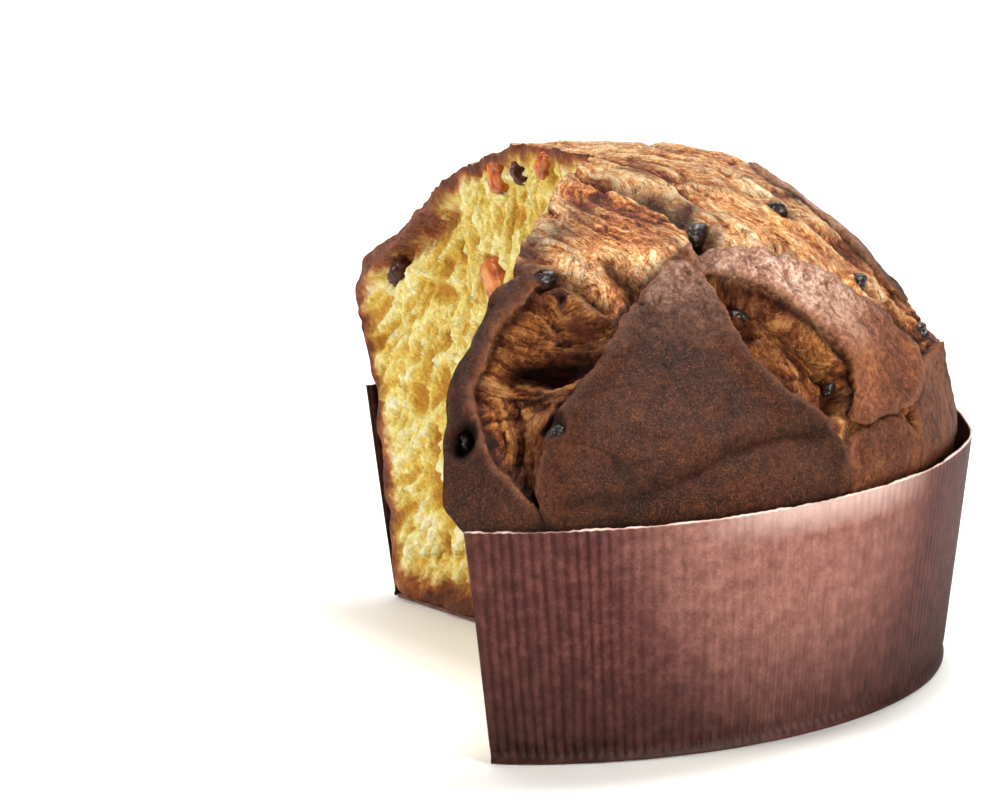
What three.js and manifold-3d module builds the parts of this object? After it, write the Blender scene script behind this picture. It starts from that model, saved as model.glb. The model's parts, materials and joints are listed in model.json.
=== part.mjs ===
// Cut panettone in its low paper mould. The dome is torn golden dough between dark skin flaps,
// and one side is open where a big slice has been taken out. Millimetres, +Z up, base at z = 0.
import * as THREE from 'three';
import Module from 'manifold-3d';
import { mergeVertices } from 'three/addons/utils/BufferGeometryUtils.js';

const wasm = await Module();
wasm.setup();

// Paper mould.
const RIM_RADIUS = 107.5;
const FOOT_RADIUS = 97.6;
const CASE_HEIGHT = 62;
const PAPER = 0.9;
const GAP = 0.3;
const LIP_OUT = 0.9;
const LIP_HEIGHT = 1.2;
const WALL_SECTORS = 124;

// Loaf above the rim, a rounded dome a little narrower than the paper.
const DOME_RADIUS = 103;
const DOME_RISE = 80;
const DOME_SIDE_POWER = 2.44;
const DOME_TOP_POWER = 1.54;
const LOAF_BOTTOM = PAPER + GAP;
const LOAF_FOOT_RADIUS = 95.6;
const BOTTOM_ROUND = 5;
const FOOT_INSET = 3;
const SIDE_TOP_ROW = 46;

// Mesh density of the dome.
const RINGS = 34;
const PROFILE_STEPS = 400;

// The cut: two planes that meet close to the middle.
const CORNER = new THREE.Vector2(10, -11.7);
const NEAR_DIRECTION = new THREE.Vector2(-0.378, -0.926).normalize();
const FAR_DIRECTION = new THREE.Vector2(-0.565, 0.825).normalize();
const CUT_REACH = 132;
const CUT_LOW = -10;
const CUT_TOP = 175;
const CUT_STEP = 7;
const CUT_HUB = 0.45;
const OUTSIDE = 300;

// The torn crumb: soft humps, with finer ones on top, that fade out at the inner corner.
const CRUMB_RELIEF = 1.1;
const CRUMB_FINE = 0.7;
const CRUMB_HUMP = { wide: 9, tall: 12 };
const CRUMB_RIPPLE = { wide: 4, tall: 5 };
const CORNER_FADE = 14;
const NEAR_SEED = 21;
const FAR_SEED = 57;

// The skin at the near side of the cut curls out into the gap, most at the middle of its height.
const CURL_OUT = 7.7;
const CURL_HEIGHT = 84;
const CURL_REACH = 26;
const CURL_START = 45;
const CURL_FULL = 75;
const CURL_BELOW = 4;
const CURL_ABOVE = 6;

// Fruit.
const POCKET_CLEARANCE = 2 * GAP;
const RAISIN_THICKNESS = 0.78;
const RAISIN_WRINKLE = 0.16;
const RAISIN_ACROSS = 7;
const RAISIN_DOWN = 5;
const PEEL_ROUNDING = 0.35;
const PEEL_CORNER = 0.62;
const PEEL_UNEVEN = 0.08;
const PEEL_SUNK_SHARE = 0.25;
const PEEL_SEED_STEP = 5;
const HOLLOW_ACROSS = 8;
const HOLLOW_DOWN = 5;

const DEGREE = Math.PI / 180;

// Repeatable smooth noise, one value between -1 and 1 for each place.
function lattice(x, y, z) {
  const mixed = Math.sin(x * 127.1 + y * 311.7 + z * 74.7) * 43758.5453;
  return (mixed - Math.floor(mixed)) * 2 - 1;
}

function noise(x, y, z) {
  const cell = [Math.floor(x), Math.floor(y), Math.floor(z)];
  const part = [x - cell[0], y - cell[1], z - cell[2]].map((t) => t * t * (3 - 2 * t));
  let sum = 0;
  for (let corner = 0; corner < 8; corner += 1) {
    const step = [corner & 1, (corner >> 1) & 1, (corner >> 2) & 1];
    const weight = step.reduce((w, on, axis) => w * (on ? part[axis] : 1 - part[axis]), 1);
    sum += weight * lattice(cell[0] + step[0], cell[1] + step[1], cell[2] + step[2]);
  }
  return sum;
}

function smoothstep(low, high, value) {
  const t = Math.min(Math.max((value - low) / (high - low), 0), 1);
  return t * t * (3 - 2 * t);
}

// Dome outline as a table by distance along the crust from the crown.
function domePoint(angle) {
  return {
    radius: DOME_RADIUS * Math.sin(angle) ** (2 / DOME_SIDE_POWER),
    height: CASE_HEIGHT + DOME_RISE * Math.cos(angle) ** (2 / DOME_TOP_POWER),
  };
}

const outline = [{ ...domePoint(0), reach: 0 }];
for (let i = 1; i <= PROFILE_STEPS; i += 1) {
  const point = domePoint((i / PROFILE_STEPS) * 90 * DEGREE);
  const last = outline[i - 1];
  const length = Math.hypot(point.radius - last.radius, point.height - last.height);
  outline.push({ ...point, reach: last.reach + length });
}
const RIM_REACH = outline[PROFILE_STEPS].reach;

function outlineAt(reach) {
  let i = 1;
  while (i < PROFILE_STEPS && outline[i].reach < reach) i += 1;
  const a = outline[i - 1];
  const b = outline[i];
  const t = Math.min(Math.max((reach - a.reach) / (b.reach - a.reach), 0), 1);
  const along = new THREE.Vector2(b.radius - a.radius, b.height - a.height).normalize();
  return {
    radius: a.radius + (b.radius - a.radius) * t,
    height: a.height + (b.height - a.height) * t,
    normal: new THREE.Vector2(-along.y, along.x),
  };
}

function reachAtHeight(height) {
  let i = 1;
  while (i < PROFILE_STEPS && outline[i].height > height) i += 1;
  const a = outline[i - 1];
  const b = outline[i];
  const t = Math.min(Math.max((height - a.height) / (b.height - a.height), 0), 1);
  return a.reach + (b.reach - a.reach) * t;
}

// The crust laid flat: distance from the crown, turned by the azimuth (0 faces the viewer).
function flat(azimuth, height) {
  const reach = height < CASE_HEIGHT ? RIM_REACH + CASE_HEIGHT - height : reachAtHeight(height);
  return new THREE.Vector2(reach * Math.sin(azimuth * DEGREE), -reach * Math.cos(azimuth * DEGREE));
}

function flatLine(points) {
  return points.map(([azimuth, height]) => flat(azimuth, height));
}

function distanceToLine(point, line, closed) {
  let best = Infinity;
  const last = closed ? line.length : line.length - 1;
  for (let i = 0; i < last; i += 1) {
    const a = line[i];
    const b = line[(i + 1) % line.length];
    const side = b.clone().sub(a);
    const t = Math.min(Math.max(point.clone().sub(a).dot(side) / side.lengthSq(), 0), 1);
    best = Math.min(best, point.distanceTo(a.clone().addScaledVector(side, t)));
  }
  return best;
}

// Positive inside the outline, negative outside it.
function depthInside(point, line) {
  let inside = false;
  for (let i = 0; i < line.length; i += 1) {
    const a = line[i];
    const b = line[(i + 1) % line.length];
    const crosses = a.y > point.y !== b.y > point.y;
    if (crosses && point.x < ((b.x - a.x) * (point.y - a.y)) / (b.y - a.y) + a.x) inside = !inside;
  }
  const distance = distanceToLine(point, line, true);
  return inside ? distance : -distance;
}

// Dark skin flaps that stand above the torn dough: outline as azimuth and height, the lift of the
// flap, and the extra height of the curled lip along its edge.
const FLAPS = [
  { lift: 3.0, lip: 1.8, edge: [[24, 119], [13, 112], [6, 100], [0, 91], [-4, 80], [-5, 70], [-3, 40],
    [40, 40], [42, 77], [34, 86], [28, 98], [27, 111]] },
  { lift: 3.4, lip: 1.2, edge: [[23, 120], [31, 119], [37, 117], [49, 112], [58, 105], [63, 99], [68, 94],
    [70, 88], [65, 83], [58, 77], [50, 79], [43, 78], [46, 84], [46, 91], [44, 100], [36, 110], [28, 115]] },
  { lift: 2.8, lip: 1.8, edge: [[-2, 119], [-7, 115], [-11, 109], [-14, 102], [-15.5, 95], [-14, 88],
    [-12, 77], [-8, 72], [-4, 64], [-4, 40], [-60, 40], [-60, 110], [-10, 123]] },
  { lift: 2.4, lip: 0.8, edge: [[42, 74], [47, 76], [54, 77], [58, 74], [60, 66], [58, 40], [41, 40]] },
  { lift: 2.0, lip: 0.8, edge: [[66, 82], [72, 84], [80, 84], [92, 84], [112, 86], [116, 40], [61, 40],
    [60, 72], [62, 78]] },
  { lift: 1.2, lip: 0.6, edge: [[77, 96], [76, 109], [78, 124], [90, 133], [118, 128], [140, 116],
    [136, 100], [112, 96], [92, 98]] },
  { lift: 0.9, lip: 0.6, edge: [[122, 88], [140, 94], [156, 108], [172, 114], [196, 114], [230, 114],
    [230, 40], [119, 40]] },
];

// Places where the dough tore open and sank between the flaps.
const BASINS = [
  { depth: 4.6, soft: 7, edge: [[-2, 117], [4, 112], [10, 106], [3, 99], [-3, 88], [-5, 76], [-6, 68],
    [-12, 78], [-12, 88], [-14, 98], [-9, 110]] },
  { depth: 3.6, soft: 6, edge: [[-10, 99], [-4, 102], [2, 98], [1, 93], [-5, 93], [-10, 95]] },
  { depth: 4.0, soft: 5, edge: [[27, 116], [36, 111], [44, 101], [46, 91], [45, 80], [42, 79], [36, 86],
    [30, 98], [27, 109]] },
  { depth: 4.0, soft: 6, edge: [[-17, 88], [-14, 88], [-13, 82], [-16, 78], [-18, 80]] },
  { depth: 3.0, soft: 6, edge: [[62, 96], [70, 100], [76, 94], [74, 88], [66, 90]] },
];

// Cracks: centre line, width and depth.
const CRACKS = [
  { width: 4.5, depth: 4.2, line: [[14, 139], [26, 136], [32, 131], [33, 124], [30, 119]] },
  { width: 3.0, depth: 2.4, line: [[9, 121], [12, 116], [13, 111]] },
  { width: 3.2, depth: 3.0, line: [[-4, 119], [2, 118], [7, 112]] },
  { width: 3.0, depth: 2.6, line: [[74, 96], [73, 110], [75, 124], [84, 134]] },
  { width: 3.4, depth: 2.6, line: [[34, 111], [40, 100], [43, 88], [43, 79]] },
  { width: 2.6, depth: 1.8, line: [[-1, 68], [4, 67], [11, 69], [22, 76], [32, 78], [40, 77]] },
  { width: 3.0, depth: 2.2, line: [[100, 139], [150, 136], [185, 134], [204, 128]] },
  { width: 3.0, depth: 2.4, line: [[118, 92], [128, 100], [150, 112], [168, 122]] },
];

// Soft swellings of the dough and skin: centre, reach across and height.
const SWELLINGS = [
  { azimuth: 215, height: 88, across: 19, rise: 16 },
  { azimuth: 182, height: 92, across: 26, rise: 3.0 },
  { azimuth: 84, height: 88, across: 15, rise: 1.0 },
  { azimuth: 16, height: 122, across: 15, rise: 2.4 },
  { azimuth: 60, height: 120, across: 18, rise: 1.6 },
  { azimuth: 125, height: 130, across: 20, rise: 2.8 },
];

const LIP_WIDTH = 6;
const FLAP_SLOPE = 5;
const DOUGH_SINK = 1.2;
const WAVE = { height: 0.9, length: 17, seed: 3 };
const RIPPLE = { height: 0.35, length: 8, seed: 8 };
const CRACK_WIDTH_SHARE = 1.4;
const RIM_FADE = { above: 8, below: 6 };

function prepare(shapes, key) {
  return shapes.map((shape) => ({ ...shape, path: flatLine(shape[key]) }));
}
const flaps = prepare(FLAPS, 'edge');
const basins = prepare(BASINS, 'edge');
const cracks = prepare(CRACKS, 'line');
const swellings = SWELLINGS.map((one) => ({ ...one, centre: flat(one.azimuth, one.height) }));

// How far the crust stands out from the plain dome at a place of the flat map.
function relief(point) {
  let out = 0;
  for (const wave of [WAVE, RIPPLE]) {
    out += wave.height * noise(point.x / wave.length, point.y / wave.length, wave.seed);
  }
  for (const flap of flaps) {
    const depth = depthInside(point, flap.path);
    const lip = Math.exp(-(((depth - LIP_WIDTH / 2) / (LIP_WIDTH / 2)) ** 2));
    out += flap.lift * smoothstep(-FLAP_SLOPE / 2, FLAP_SLOPE / 2, depth) + flap.lip * lip;
  }
  for (const basin of basins) {
    out -= basin.depth * smoothstep(-basin.soft / 2, basin.soft, depthInside(point, basin.path));
  }
  for (const crack of cracks) {
    const across = (CRACK_WIDTH_SHARE * distanceToLine(point, crack.path, false)) / crack.width;
    out -= crack.depth * Math.exp(-(across ** 2));
  }
  for (const swelling of swellings) {
    out += swelling.rise * Math.exp(-((point.distanceTo(swelling.centre) / swelling.across) ** 2));
  }
  const free = smoothstep(RIM_REACH + RIM_FADE.below, RIM_REACH - RIM_FADE.above, point.length());
  return (out - DOUGH_SINK) * free;
}

// A place on the crust with the direction that faces out of it.
function crust(point) {
  const reach = point.length();
  const at = outlineAt(Math.min(reach, RIM_REACH));
  const turn = reach > 0 ? point.clone().divideScalar(reach) : new THREE.Vector2(0, -1);
  const out = new THREE.Vector3(turn.x * at.normal.x, turn.y * at.normal.x, at.normal.y);
  const base = new THREE.Vector3(turn.x * at.radius, turn.y * at.radius, at.height);
  return { place: base.addScaledVector(out, relief(point)), out };
}

function toManifold(geometry) {
  const plain = geometry.index ? geometry : geometry.clone();
  plain.deleteAttribute('normal');
  plain.deleteAttribute('uv');
  const merged = mergeVertices(plain, 1e-4);
  return new wasm.Manifold(new wasm.Mesh({
    numProp: 3,
    vertProperties: new Float32Array(merged.attributes.position.array),
    triVerts: new Uint32Array(merged.index.array),
  }));
}

function fromManifold(solid) {
  const mesh = solid.getMesh();
  const geometry = new THREE.BufferGeometry();
  geometry.setAttribute('position', new THREE.BufferAttribute(new Float32Array(mesh.vertProperties), 3));
  geometry.setIndex(new THREE.BufferAttribute(new Uint32Array(mesh.triVerts), 1));
  const open = geometry.toNonIndexed();
  open.computeVertexNormals();
  return open;
}

function indexed(points, triangles) {
  const geometry = new THREE.BufferGeometry();
  const values = new Float32Array(points.flatMap((p) => [p.x, p.y, p.z]));
  geometry.setAttribute('position', new THREE.BufferAttribute(values, 3));
  geometry.setIndex(triangles);
  return geometry;
}

// Whole loaf: rings of crust from the crown to the rim, then the side down inside the paper.
const SIDE_HEIGHTS = [SIDE_TOP_ROW, BOTTOM_ROUND + LOAF_BOTTOM, LOAF_BOTTOM];

function wholeLoaf() {
  const points = [];
  const rings = [];
  for (let ring = 0; ring <= RINGS; ring += 1) {
    const count = Math.max(6 * ring, 1);
    rings.push({ first: points.length, count });
    for (let i = 0; i < count; i += 1) {
      const angle = (i / count) * 360 * DEGREE;
      const reach = (ring / RINGS) * RIM_REACH;
      points.push(crust(new THREE.Vector2(reach * Math.sin(angle), -reach * Math.cos(angle))).place);
    }
  }
  const rimCount = 6 * RINGS;
  for (const height of SIDE_HEIGHTS) {
    const share = (height - LOAF_BOTTOM) / (CASE_HEIGHT - LOAF_BOTTOM);
    const inset = height === LOAF_BOTTOM ? FOOT_INSET : 0;
    const radius = LOAF_FOOT_RADIUS + (DOME_RADIUS - LOAF_FOOT_RADIUS) * share - inset;
    rings.push({ first: points.length, count: rimCount });
    for (let i = 0; i < rimCount; i += 1) {
      const angle = (i / rimCount) * 360 * DEGREE;
      points.push(new THREE.Vector3(radius * Math.sin(angle), -radius * Math.cos(angle), height));
    }
  }
  const triangles = [];
  for (let ring = 0; ring + 1 < rings.length; ring += 1) {
    const inner = rings[ring];
    const outer = rings[ring + 1];
    let i = 0;
    let j = 0;
    while (i < inner.count || j < outer.count) {
      const innerNext = inner.count === 1 ? Infinity : (i + 1) / inner.count;
      const outerNext = (j + 1) / outer.count;
      const a = inner.first + (i % inner.count);
      const b = outer.first + (j % outer.count);
      if (j < outer.count && outerNext <= innerNext + 1e-9) {
        triangles.push(a, b, outer.first + ((j + 1) % outer.count));
        j += 1;
      } else if (inner.count > 1 && i < inner.count) {
        triangles.push(a, b, inner.first + ((i + 1) % inner.count));
        i += 1;
      } else {
        break;
      }
    }
  }
  const middle = points.length;
  points.push(new THREE.Vector3(0, 0, LOAF_BOTTOM));
  const foot = rings[rings.length - 1];
  for (let i = 0; i < foot.count; i += 1) {
    triangles.push(foot.first + i, middle, foot.first + ((i + 1) % foot.count));
  }
  return toManifold(indexed(points, triangles));
}

// How far the crumb stands into the gap at a place of a cut face.
function cutRelief(near, along, height) {
  const seed = near ? NEAR_SEED : FAR_SEED;
  const hump = noise(along / CRUMB_HUMP.wide, height / CRUMB_HUMP.tall, seed);
  const ripple = noise(along / CRUMB_RIPPLE.wide, height / CRUMB_RIPPLE.tall, seed);
  const crumb = CRUMB_RELIEF * smoothstep(0, CORNER_FADE, along) * (hump + CRUMB_FINE * ripple);
  if (!near) return crumb;
  const curl = Math.exp(-(((height - CURL_HEIGHT) / CURL_REACH) ** 4));
  const outer = smoothstep(CURL_START, CURL_FULL, along);
  const clear = smoothstep(CASE_HEIGHT - CURL_BELOW, CASE_HEIGHT + CURL_ABOVE, height);
  return crumb + CURL_OUT * curl * outer * clear;
}

// Everything that was taken away: a block with a torn face along each side of the slice.
function slice(torn) {
  const columns = Math.round(CUT_REACH / CUT_STEP);
  const rows = torn ? Math.round(CUT_TOP / CUT_STEP) : 1;
  const points = [];
  const nearOut = new THREE.Vector2(NEAR_DIRECTION.y, -NEAR_DIRECTION.x);
  const farOut = new THREE.Vector2(-FAR_DIRECTION.y, FAR_DIRECTION.x);
  const across = 2 * columns + 2;
  for (let row = 0; row <= rows; row += 1) {
    const height = CUT_LOW + ((CUT_TOP - CUT_LOW) * row) / rows;
    for (let column = 0; column + 1 < across; column += 1) {
      const near = column < columns;
      const along = Math.abs(columns - column) * CUT_STEP;
      const direction = near ? NEAR_DIRECTION : FAR_DIRECTION;
      const out = near ? nearOut : farOut;
      const shift = torn ? cutRelief(near, along, height) : 0;
      const place = CORNER.clone().addScaledVector(direction, along).addScaledVector(out, shift);
      points.push(new THREE.Vector3(place.x, place.y, height));
    }
    points.push(new THREE.Vector3(-OUTSIDE, 0, height));
  }
  const triangles = [];
  for (let row = 0; row < rows; row += 1) {
    for (let column = 0; column + 1 < across; column += 1) {
      const a = row * across + column;
      const b = a + across;
      triangles.push(a, a + 1, b, a + 1, b + 1, b);
    }
    const first = row * across;
    const last = first + across - 1;
    triangles.push(last, first, last + across, first, first + across, last + across);
  }
  for (const [row, up] of [[0, false], [rows, true]]) {
    const hub = points.length;
    const outer = CORNER.clone().addScaledVector(NEAR_DIRECTION, CUT_REACH * CUT_HUB)
      .addScaledVector(FAR_DIRECTION, CUT_REACH * CUT_HUB);
    points.push(new THREE.Vector3(outer.x, outer.y, up ? CUT_TOP : CUT_LOW));
    for (let column = 0; column < across; column += 1) {
      const a = row * across + column;
      const b = row * across + ((column + 1) % across);
      if (up) triangles.push(hub, a, b);
      else triangles.push(hub, b, a);
    }
  }
  return toManifold(indexed(points, triangles));
}

// A rounded lump with uneven sides, used for fruit and for the hollows in the crumb.
function lump(size, wrinkle, seed, across, down) {
  const geometry = new THREE.SphereGeometry(0.5, across, down);
  const position = geometry.attributes.position;
  const point = new THREE.Vector3();
  for (let i = 0; i < position.count; i += 1) {
    point.fromBufferAttribute(position, i);
    const swell = 1 + wrinkle * noise(point.x * 4 + seed, point.y * 4, point.z * 4 + seed);
    point.multiplyScalar(swell).multiply(size);
    position.setXYZ(i, point.x, point.y, point.z);
  }
  geometry.rotateX(90 * DEGREE);
  return geometry;
}

function frameFor(place, out, spin) {
  const turn = new THREE.Quaternion().setFromUnitVectors(new THREE.Vector3(0, 0, 1), out);
  const twist = new THREE.Quaternion().setFromAxisAngle(new THREE.Vector3(0, 0, 1), spin * DEGREE);
  return new THREE.Matrix4().compose(place, turn.multiply(twist), new THREE.Vector3(1, 1, 1));
}

function crustSpot(azimuth, height, sink) {
  const spot = crust(flat(azimuth, height));
  return { place: spot.place.addScaledVector(spot.out, -sink), out: spot.out };
}

function cutSpot(near, along, height, sink) {
  const direction = near ? NEAR_DIRECTION : FAR_DIRECTION;
  const out = near
    ? new THREE.Vector3(NEAR_DIRECTION.y, -NEAR_DIRECTION.x, 0)
    : new THREE.Vector3(-FAR_DIRECTION.y, FAR_DIRECTION.x, 0);
  const shift = cutRelief(near, along, height) - sink;
  const place = new THREE.Vector3(CORNER.x + direction.x * along, CORNER.y + direction.y * along, height);
  return { place: place.addScaledVector(out, shift), out };
}

// Raisins on the crust: azimuth, height, length, width, sink below the surface, turn.
const CRUST_RAISINS = [
  [34, 126, 10.5, 8, -1.4, 60], [64, 126, 8.5, 6.5, 0.2, 30], [68, 107, 10, 6.5, 0.2, 80],
  [44, 117.5, 8, 6, 0.2, 10], [82, 90, 12, 7, 1.6, 75], [-4, 118.5, 8, 5.5, 0.6, 20],
  [-2, 84, 6, 5, 0.6, 40], [-16, 83, 9, 6, 1.6, 80], [34, 109, 7.5, 6, 0.2, 25],
  [45, 87, 6, 4, 0.6, 70], [134, 116, 9, 7, 0.8, 15], [160, 120, 8, 6.5, 0.8, 50],
  [120, 104, 8, 6, 0.9, 35], [146, 84, 8, 6, 0.9, 65],
];

// Raisins in a cut face: near side or far side, distance out from the corner, height, sizes.
const CUT_RAISINS = [
  [false, 39.5, 132, 9, 7, 1.4, 60], [false, 103, 97, 11, 8, 1.6, 10], [false, 76, 62, 7, 5.5, 1.2, 30],
  [true, 30, 118, 9, 7, 1.2, 10], [true, 62, 96, 10, 7.5, 1.4, 55], [true, 46, 58, 9, 7, 1.3, 80],
  [true, 78, 40, 8, 6.5, 1.2, 35], [true, 24, 30, 9, 6.5, 1.3, 15],
];

// Candied peel in a cut face: the same, with the third size as the thickness.
const CUT_PEEL = [
  [false, 52, 100, 15, 10, 6, 60], [false, 49, 130, 9, 6.5, 4.5, 40], [false, 27, 135, 8, 5, 4, 10],
  [true, 40, 84, 10, 7, 5, 30], [true, 84, 72, 9, 6, 4.5, 60], [true, 58, 24, 8, 6, 4.5, 5],
];

// Large hollows of the crumb: side, distance out, height, width, height of the hollow, depth.
const HOLLOWS = [
  [false, 40, 120, 9, 8, 6], [false, 71, 106, 9, 9, 7], [false, 80, 94, 12, 8, 7],
  [false, 97, 61, 10, 12, 7], [false, 89, 50, 7, 12, 7], [false, 63, 84, 9, 7, 5],
  [false, 89, 36, 10, 14, 7], [false, 86, 20, 7, 9, 6],
  [true, 20, 92, 8, 12, 7], [true, 50, 112, 9, 8, 6], [true, 72, 60, 7, 13, 7],
  [true, 34, 44, 7, 11, 6], [true, 88, 26, 8, 10, 6], [true, 60, 76, 6, 9, 5],
];

let loafSolid = wholeLoaf().subtract(slice(true));
const fruit = [];

function raisin(size, seed) {
  return lump(size, RAISIN_WRINKLE, seed, RAISIN_ACROSS, RAISIN_DOWN);
}

// A cut cube of candied peel with softened corners.
function chunk(size, seed) {
  const geometry = new THREE.BoxGeometry(1, 1, 1, 2, 2, 2);
  const position = geometry.attributes.position;
  const point = new THREE.Vector3();
  for (let i = 0; i < position.count; i += 1) {
    point.fromBufferAttribute(position, i);
    const round = point.clone().normalize().multiplyScalar(PEEL_CORNER);
    point.lerp(round, PEEL_ROUNDING).multiply(size);
    point.multiplyScalar(1 + PEEL_UNEVEN * noise(point.x / 3 + seed, point.y / 3, point.z / 3));
    position.setXYZ(i, point.x, point.y, point.z);
  }
  return geometry;
}

// Each fruit sits in a pocket of the loaf that leaves it a hair of room.
function setInLoaf(kind, number, spot, size, spin, seed) {
  const shape = kind === 'raisin' ? raisin : chunk;
  const frame = frameFor(spot.place, spot.out, spin);
  const roomy = size.clone().addScalar(POCKET_CLEARANCE);
  const piece = toManifold(shape(size, seed).applyMatrix4(frame));
  const pocket = toManifold(shape(roomy, seed).applyMatrix4(frame));
  loafSolid = loafSolid.subtract(pocket);
  fruit.push({ name: `${kind}_${String(number).padStart(2, '0')}`, kind, piece });
}

for (const [side, along, height, width, tall, depth] of HOLLOWS) {
  const spot = cutSpot(side, along, height, 0);
  const geometry = new THREE.SphereGeometry(0.5, HOLLOW_ACROSS, HOLLOW_DOWN);
  geometry.rotateX(90 * DEGREE);
  geometry.scale(width, tall, depth);
  const upright = new THREE.Matrix4().makeBasis(
    new THREE.Vector3(-spot.out.y, spot.out.x, 0), new THREE.Vector3(0, 0, 1), spot.out.clone(),
  ).setPosition(spot.place);
  loafSolid = loafSolid.subtract(toManifold(geometry.applyMatrix4(upright)));
}

let number = 0;
for (const [azimuth, height, length, width, sink, spin] of CRUST_RAISINS) {
  number += 1;
  const size = new THREE.Vector3(length, width, width * RAISIN_THICKNESS);
  setInLoaf('raisin', number, crustSpot(azimuth, height, sink), size, spin, number);
}
for (const [side, along, height, length, width, sink, spin] of CUT_RAISINS) {
  number += 1;
  const size = new THREE.Vector3(length, width, width * RAISIN_THICKNESS);
  setInLoaf('raisin', number, cutSpot(side, along, height, sink), size, spin, number);
}
for (const [index, [side, along, height, length, width, thickness, spin]] of CUT_PEEL.entries()) {
  const size = new THREE.Vector3(length, width, thickness);
  const spot = cutSpot(side, along, height, thickness * PEEL_SUNK_SHARE);
  setInLoaf('peel', index + 1, spot, size, spin, PEEL_SEED_STEP * (index + 1));
}

// Paper wall: a thin flared band with a small turned lip at the foot, open where the slice was cut.
function paperWall() {
  const slope = (RIM_RADIUS - FOOT_RADIUS) / CASE_HEIGHT;
  const profile = [
    [FOOT_RADIUS - PAPER, 0],
    [FOOT_RADIUS + LIP_OUT, 0],
    [FOOT_RADIUS + LIP_OUT, LIP_HEIGHT],
    [FOOT_RADIUS + slope * LIP_HEIGHT, LIP_HEIGHT],
    [RIM_RADIUS, CASE_HEIGHT],
    [RIM_RADIUS - PAPER, CASE_HEIGHT],
    [FOOT_RADIUS - PAPER, 0],
  ].map(([radius, height]) => new THREE.Vector2(radius, height));
  const geometry = new THREE.LatheGeometry(profile, WALL_SECTORS);
  geometry.rotateX(90 * DEGREE);
  return toManifold(geometry);
}

function paperBase() {
  const radius = FOOT_RADIUS - PAPER - GAP;
  const geometry = new THREE.CylinderGeometry(radius, radius, PAPER, WALL_SECTORS);
  geometry.rotateX(90 * DEGREE);
  geometry.translate(0, 0, PAPER / 2);
  return toManifold(geometry);
}

const plainSlice = slice(false);
const wallSolid = paperWall().subtract(plainSlice);
const baseSolid = paperBase().subtract(plainSlice);

const COLOURS = {
  loaf: 0x8a5232,
  raisin: 0x241611,
  peel: 0xd9751f,
  case_wall: 0x6b3a30,
  case_base: 0x7a4a3a,
};

const group = new THREE.Group();
group.name = 'panettone';

function addNode(name, kind, solid) {
  const material = new THREE.MeshStandardMaterial({ color: COLOURS[kind], roughness: 0.8 });
  const mesh = new THREE.Mesh(fromManifold(solid), material);
  mesh.name = name;
  group.add(mesh);
}

addNode('loaf', 'loaf', loafSolid);
addNode('case_wall', 'case_wall', wallSolid);
addNode('case_base', 'case_base', baseSolid);
for (const { name, kind, piece } of fruit) addNode(name, kind, piece);

// The origin is the middle of the footprint, at the foot.
const box = new THREE.Box3().setFromObject(group);
const middle = box.getCenter(new THREE.Vector3());
group.children.forEach((mesh) => mesh.geometry.translate(-middle.x, -middle.y, -box.min.z));

export default group;
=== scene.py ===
"""A cut panettone in its low paper mould: torn golden dome, dark skin flaps, yellow crumb, raisins and
candied peel. Metres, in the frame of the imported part. Sizes in the sections are millimetres."""

import json
import math

import bpy
import numpy as np
from mathutils import Matrix, Vector
from mathutils.kdtree import KDTree

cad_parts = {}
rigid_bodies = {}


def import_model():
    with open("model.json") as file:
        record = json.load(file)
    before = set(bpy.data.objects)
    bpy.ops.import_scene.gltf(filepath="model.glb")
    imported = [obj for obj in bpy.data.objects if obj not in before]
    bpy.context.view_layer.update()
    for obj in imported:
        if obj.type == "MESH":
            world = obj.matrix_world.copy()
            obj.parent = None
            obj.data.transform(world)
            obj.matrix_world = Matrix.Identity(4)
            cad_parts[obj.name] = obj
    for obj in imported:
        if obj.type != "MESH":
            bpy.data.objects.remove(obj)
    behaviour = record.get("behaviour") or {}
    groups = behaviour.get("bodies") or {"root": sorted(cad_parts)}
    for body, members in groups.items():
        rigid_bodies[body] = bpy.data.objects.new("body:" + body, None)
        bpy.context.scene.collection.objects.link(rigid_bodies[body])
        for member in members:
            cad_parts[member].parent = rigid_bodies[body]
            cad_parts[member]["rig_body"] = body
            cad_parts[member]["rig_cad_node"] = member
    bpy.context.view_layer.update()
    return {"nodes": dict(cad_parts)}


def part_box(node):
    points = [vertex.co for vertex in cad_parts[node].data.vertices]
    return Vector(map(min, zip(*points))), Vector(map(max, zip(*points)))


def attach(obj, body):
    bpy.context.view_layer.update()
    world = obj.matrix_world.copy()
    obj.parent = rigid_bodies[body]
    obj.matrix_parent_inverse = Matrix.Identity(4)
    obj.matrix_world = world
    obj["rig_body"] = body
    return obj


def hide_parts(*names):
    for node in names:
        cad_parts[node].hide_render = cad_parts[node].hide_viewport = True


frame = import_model()

# Place of the cake and the view of it.
# The mould is a round of 215 mm across the rim, and its upright axis carries every other piece.
# The camera looks slightly down on the dome, with the torn side of the cake to its left.
MM = 0.001
RIM_RADIUS = 107.5
_, wall_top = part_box("case_wall")
AXIS_X = wall_top.x / MM - RIM_RADIUS
AXIS_Y = wall_top.y / MM - RIM_RADIUS

CAMERA_PLACE = (0.0, -1075.84, 291.27)
CAMERA_RIGHT = (0.9988018, 0.00781398, -0.04831043)
CAMERA_UP = (0.04579332, 0.19894599, 0.97893997)
CAMERA_AHEAD = (-0.01726058, 0.9799793, -0.19834978)
SENSOR_WIDTH = 36.0
LENS = 146.52

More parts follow.
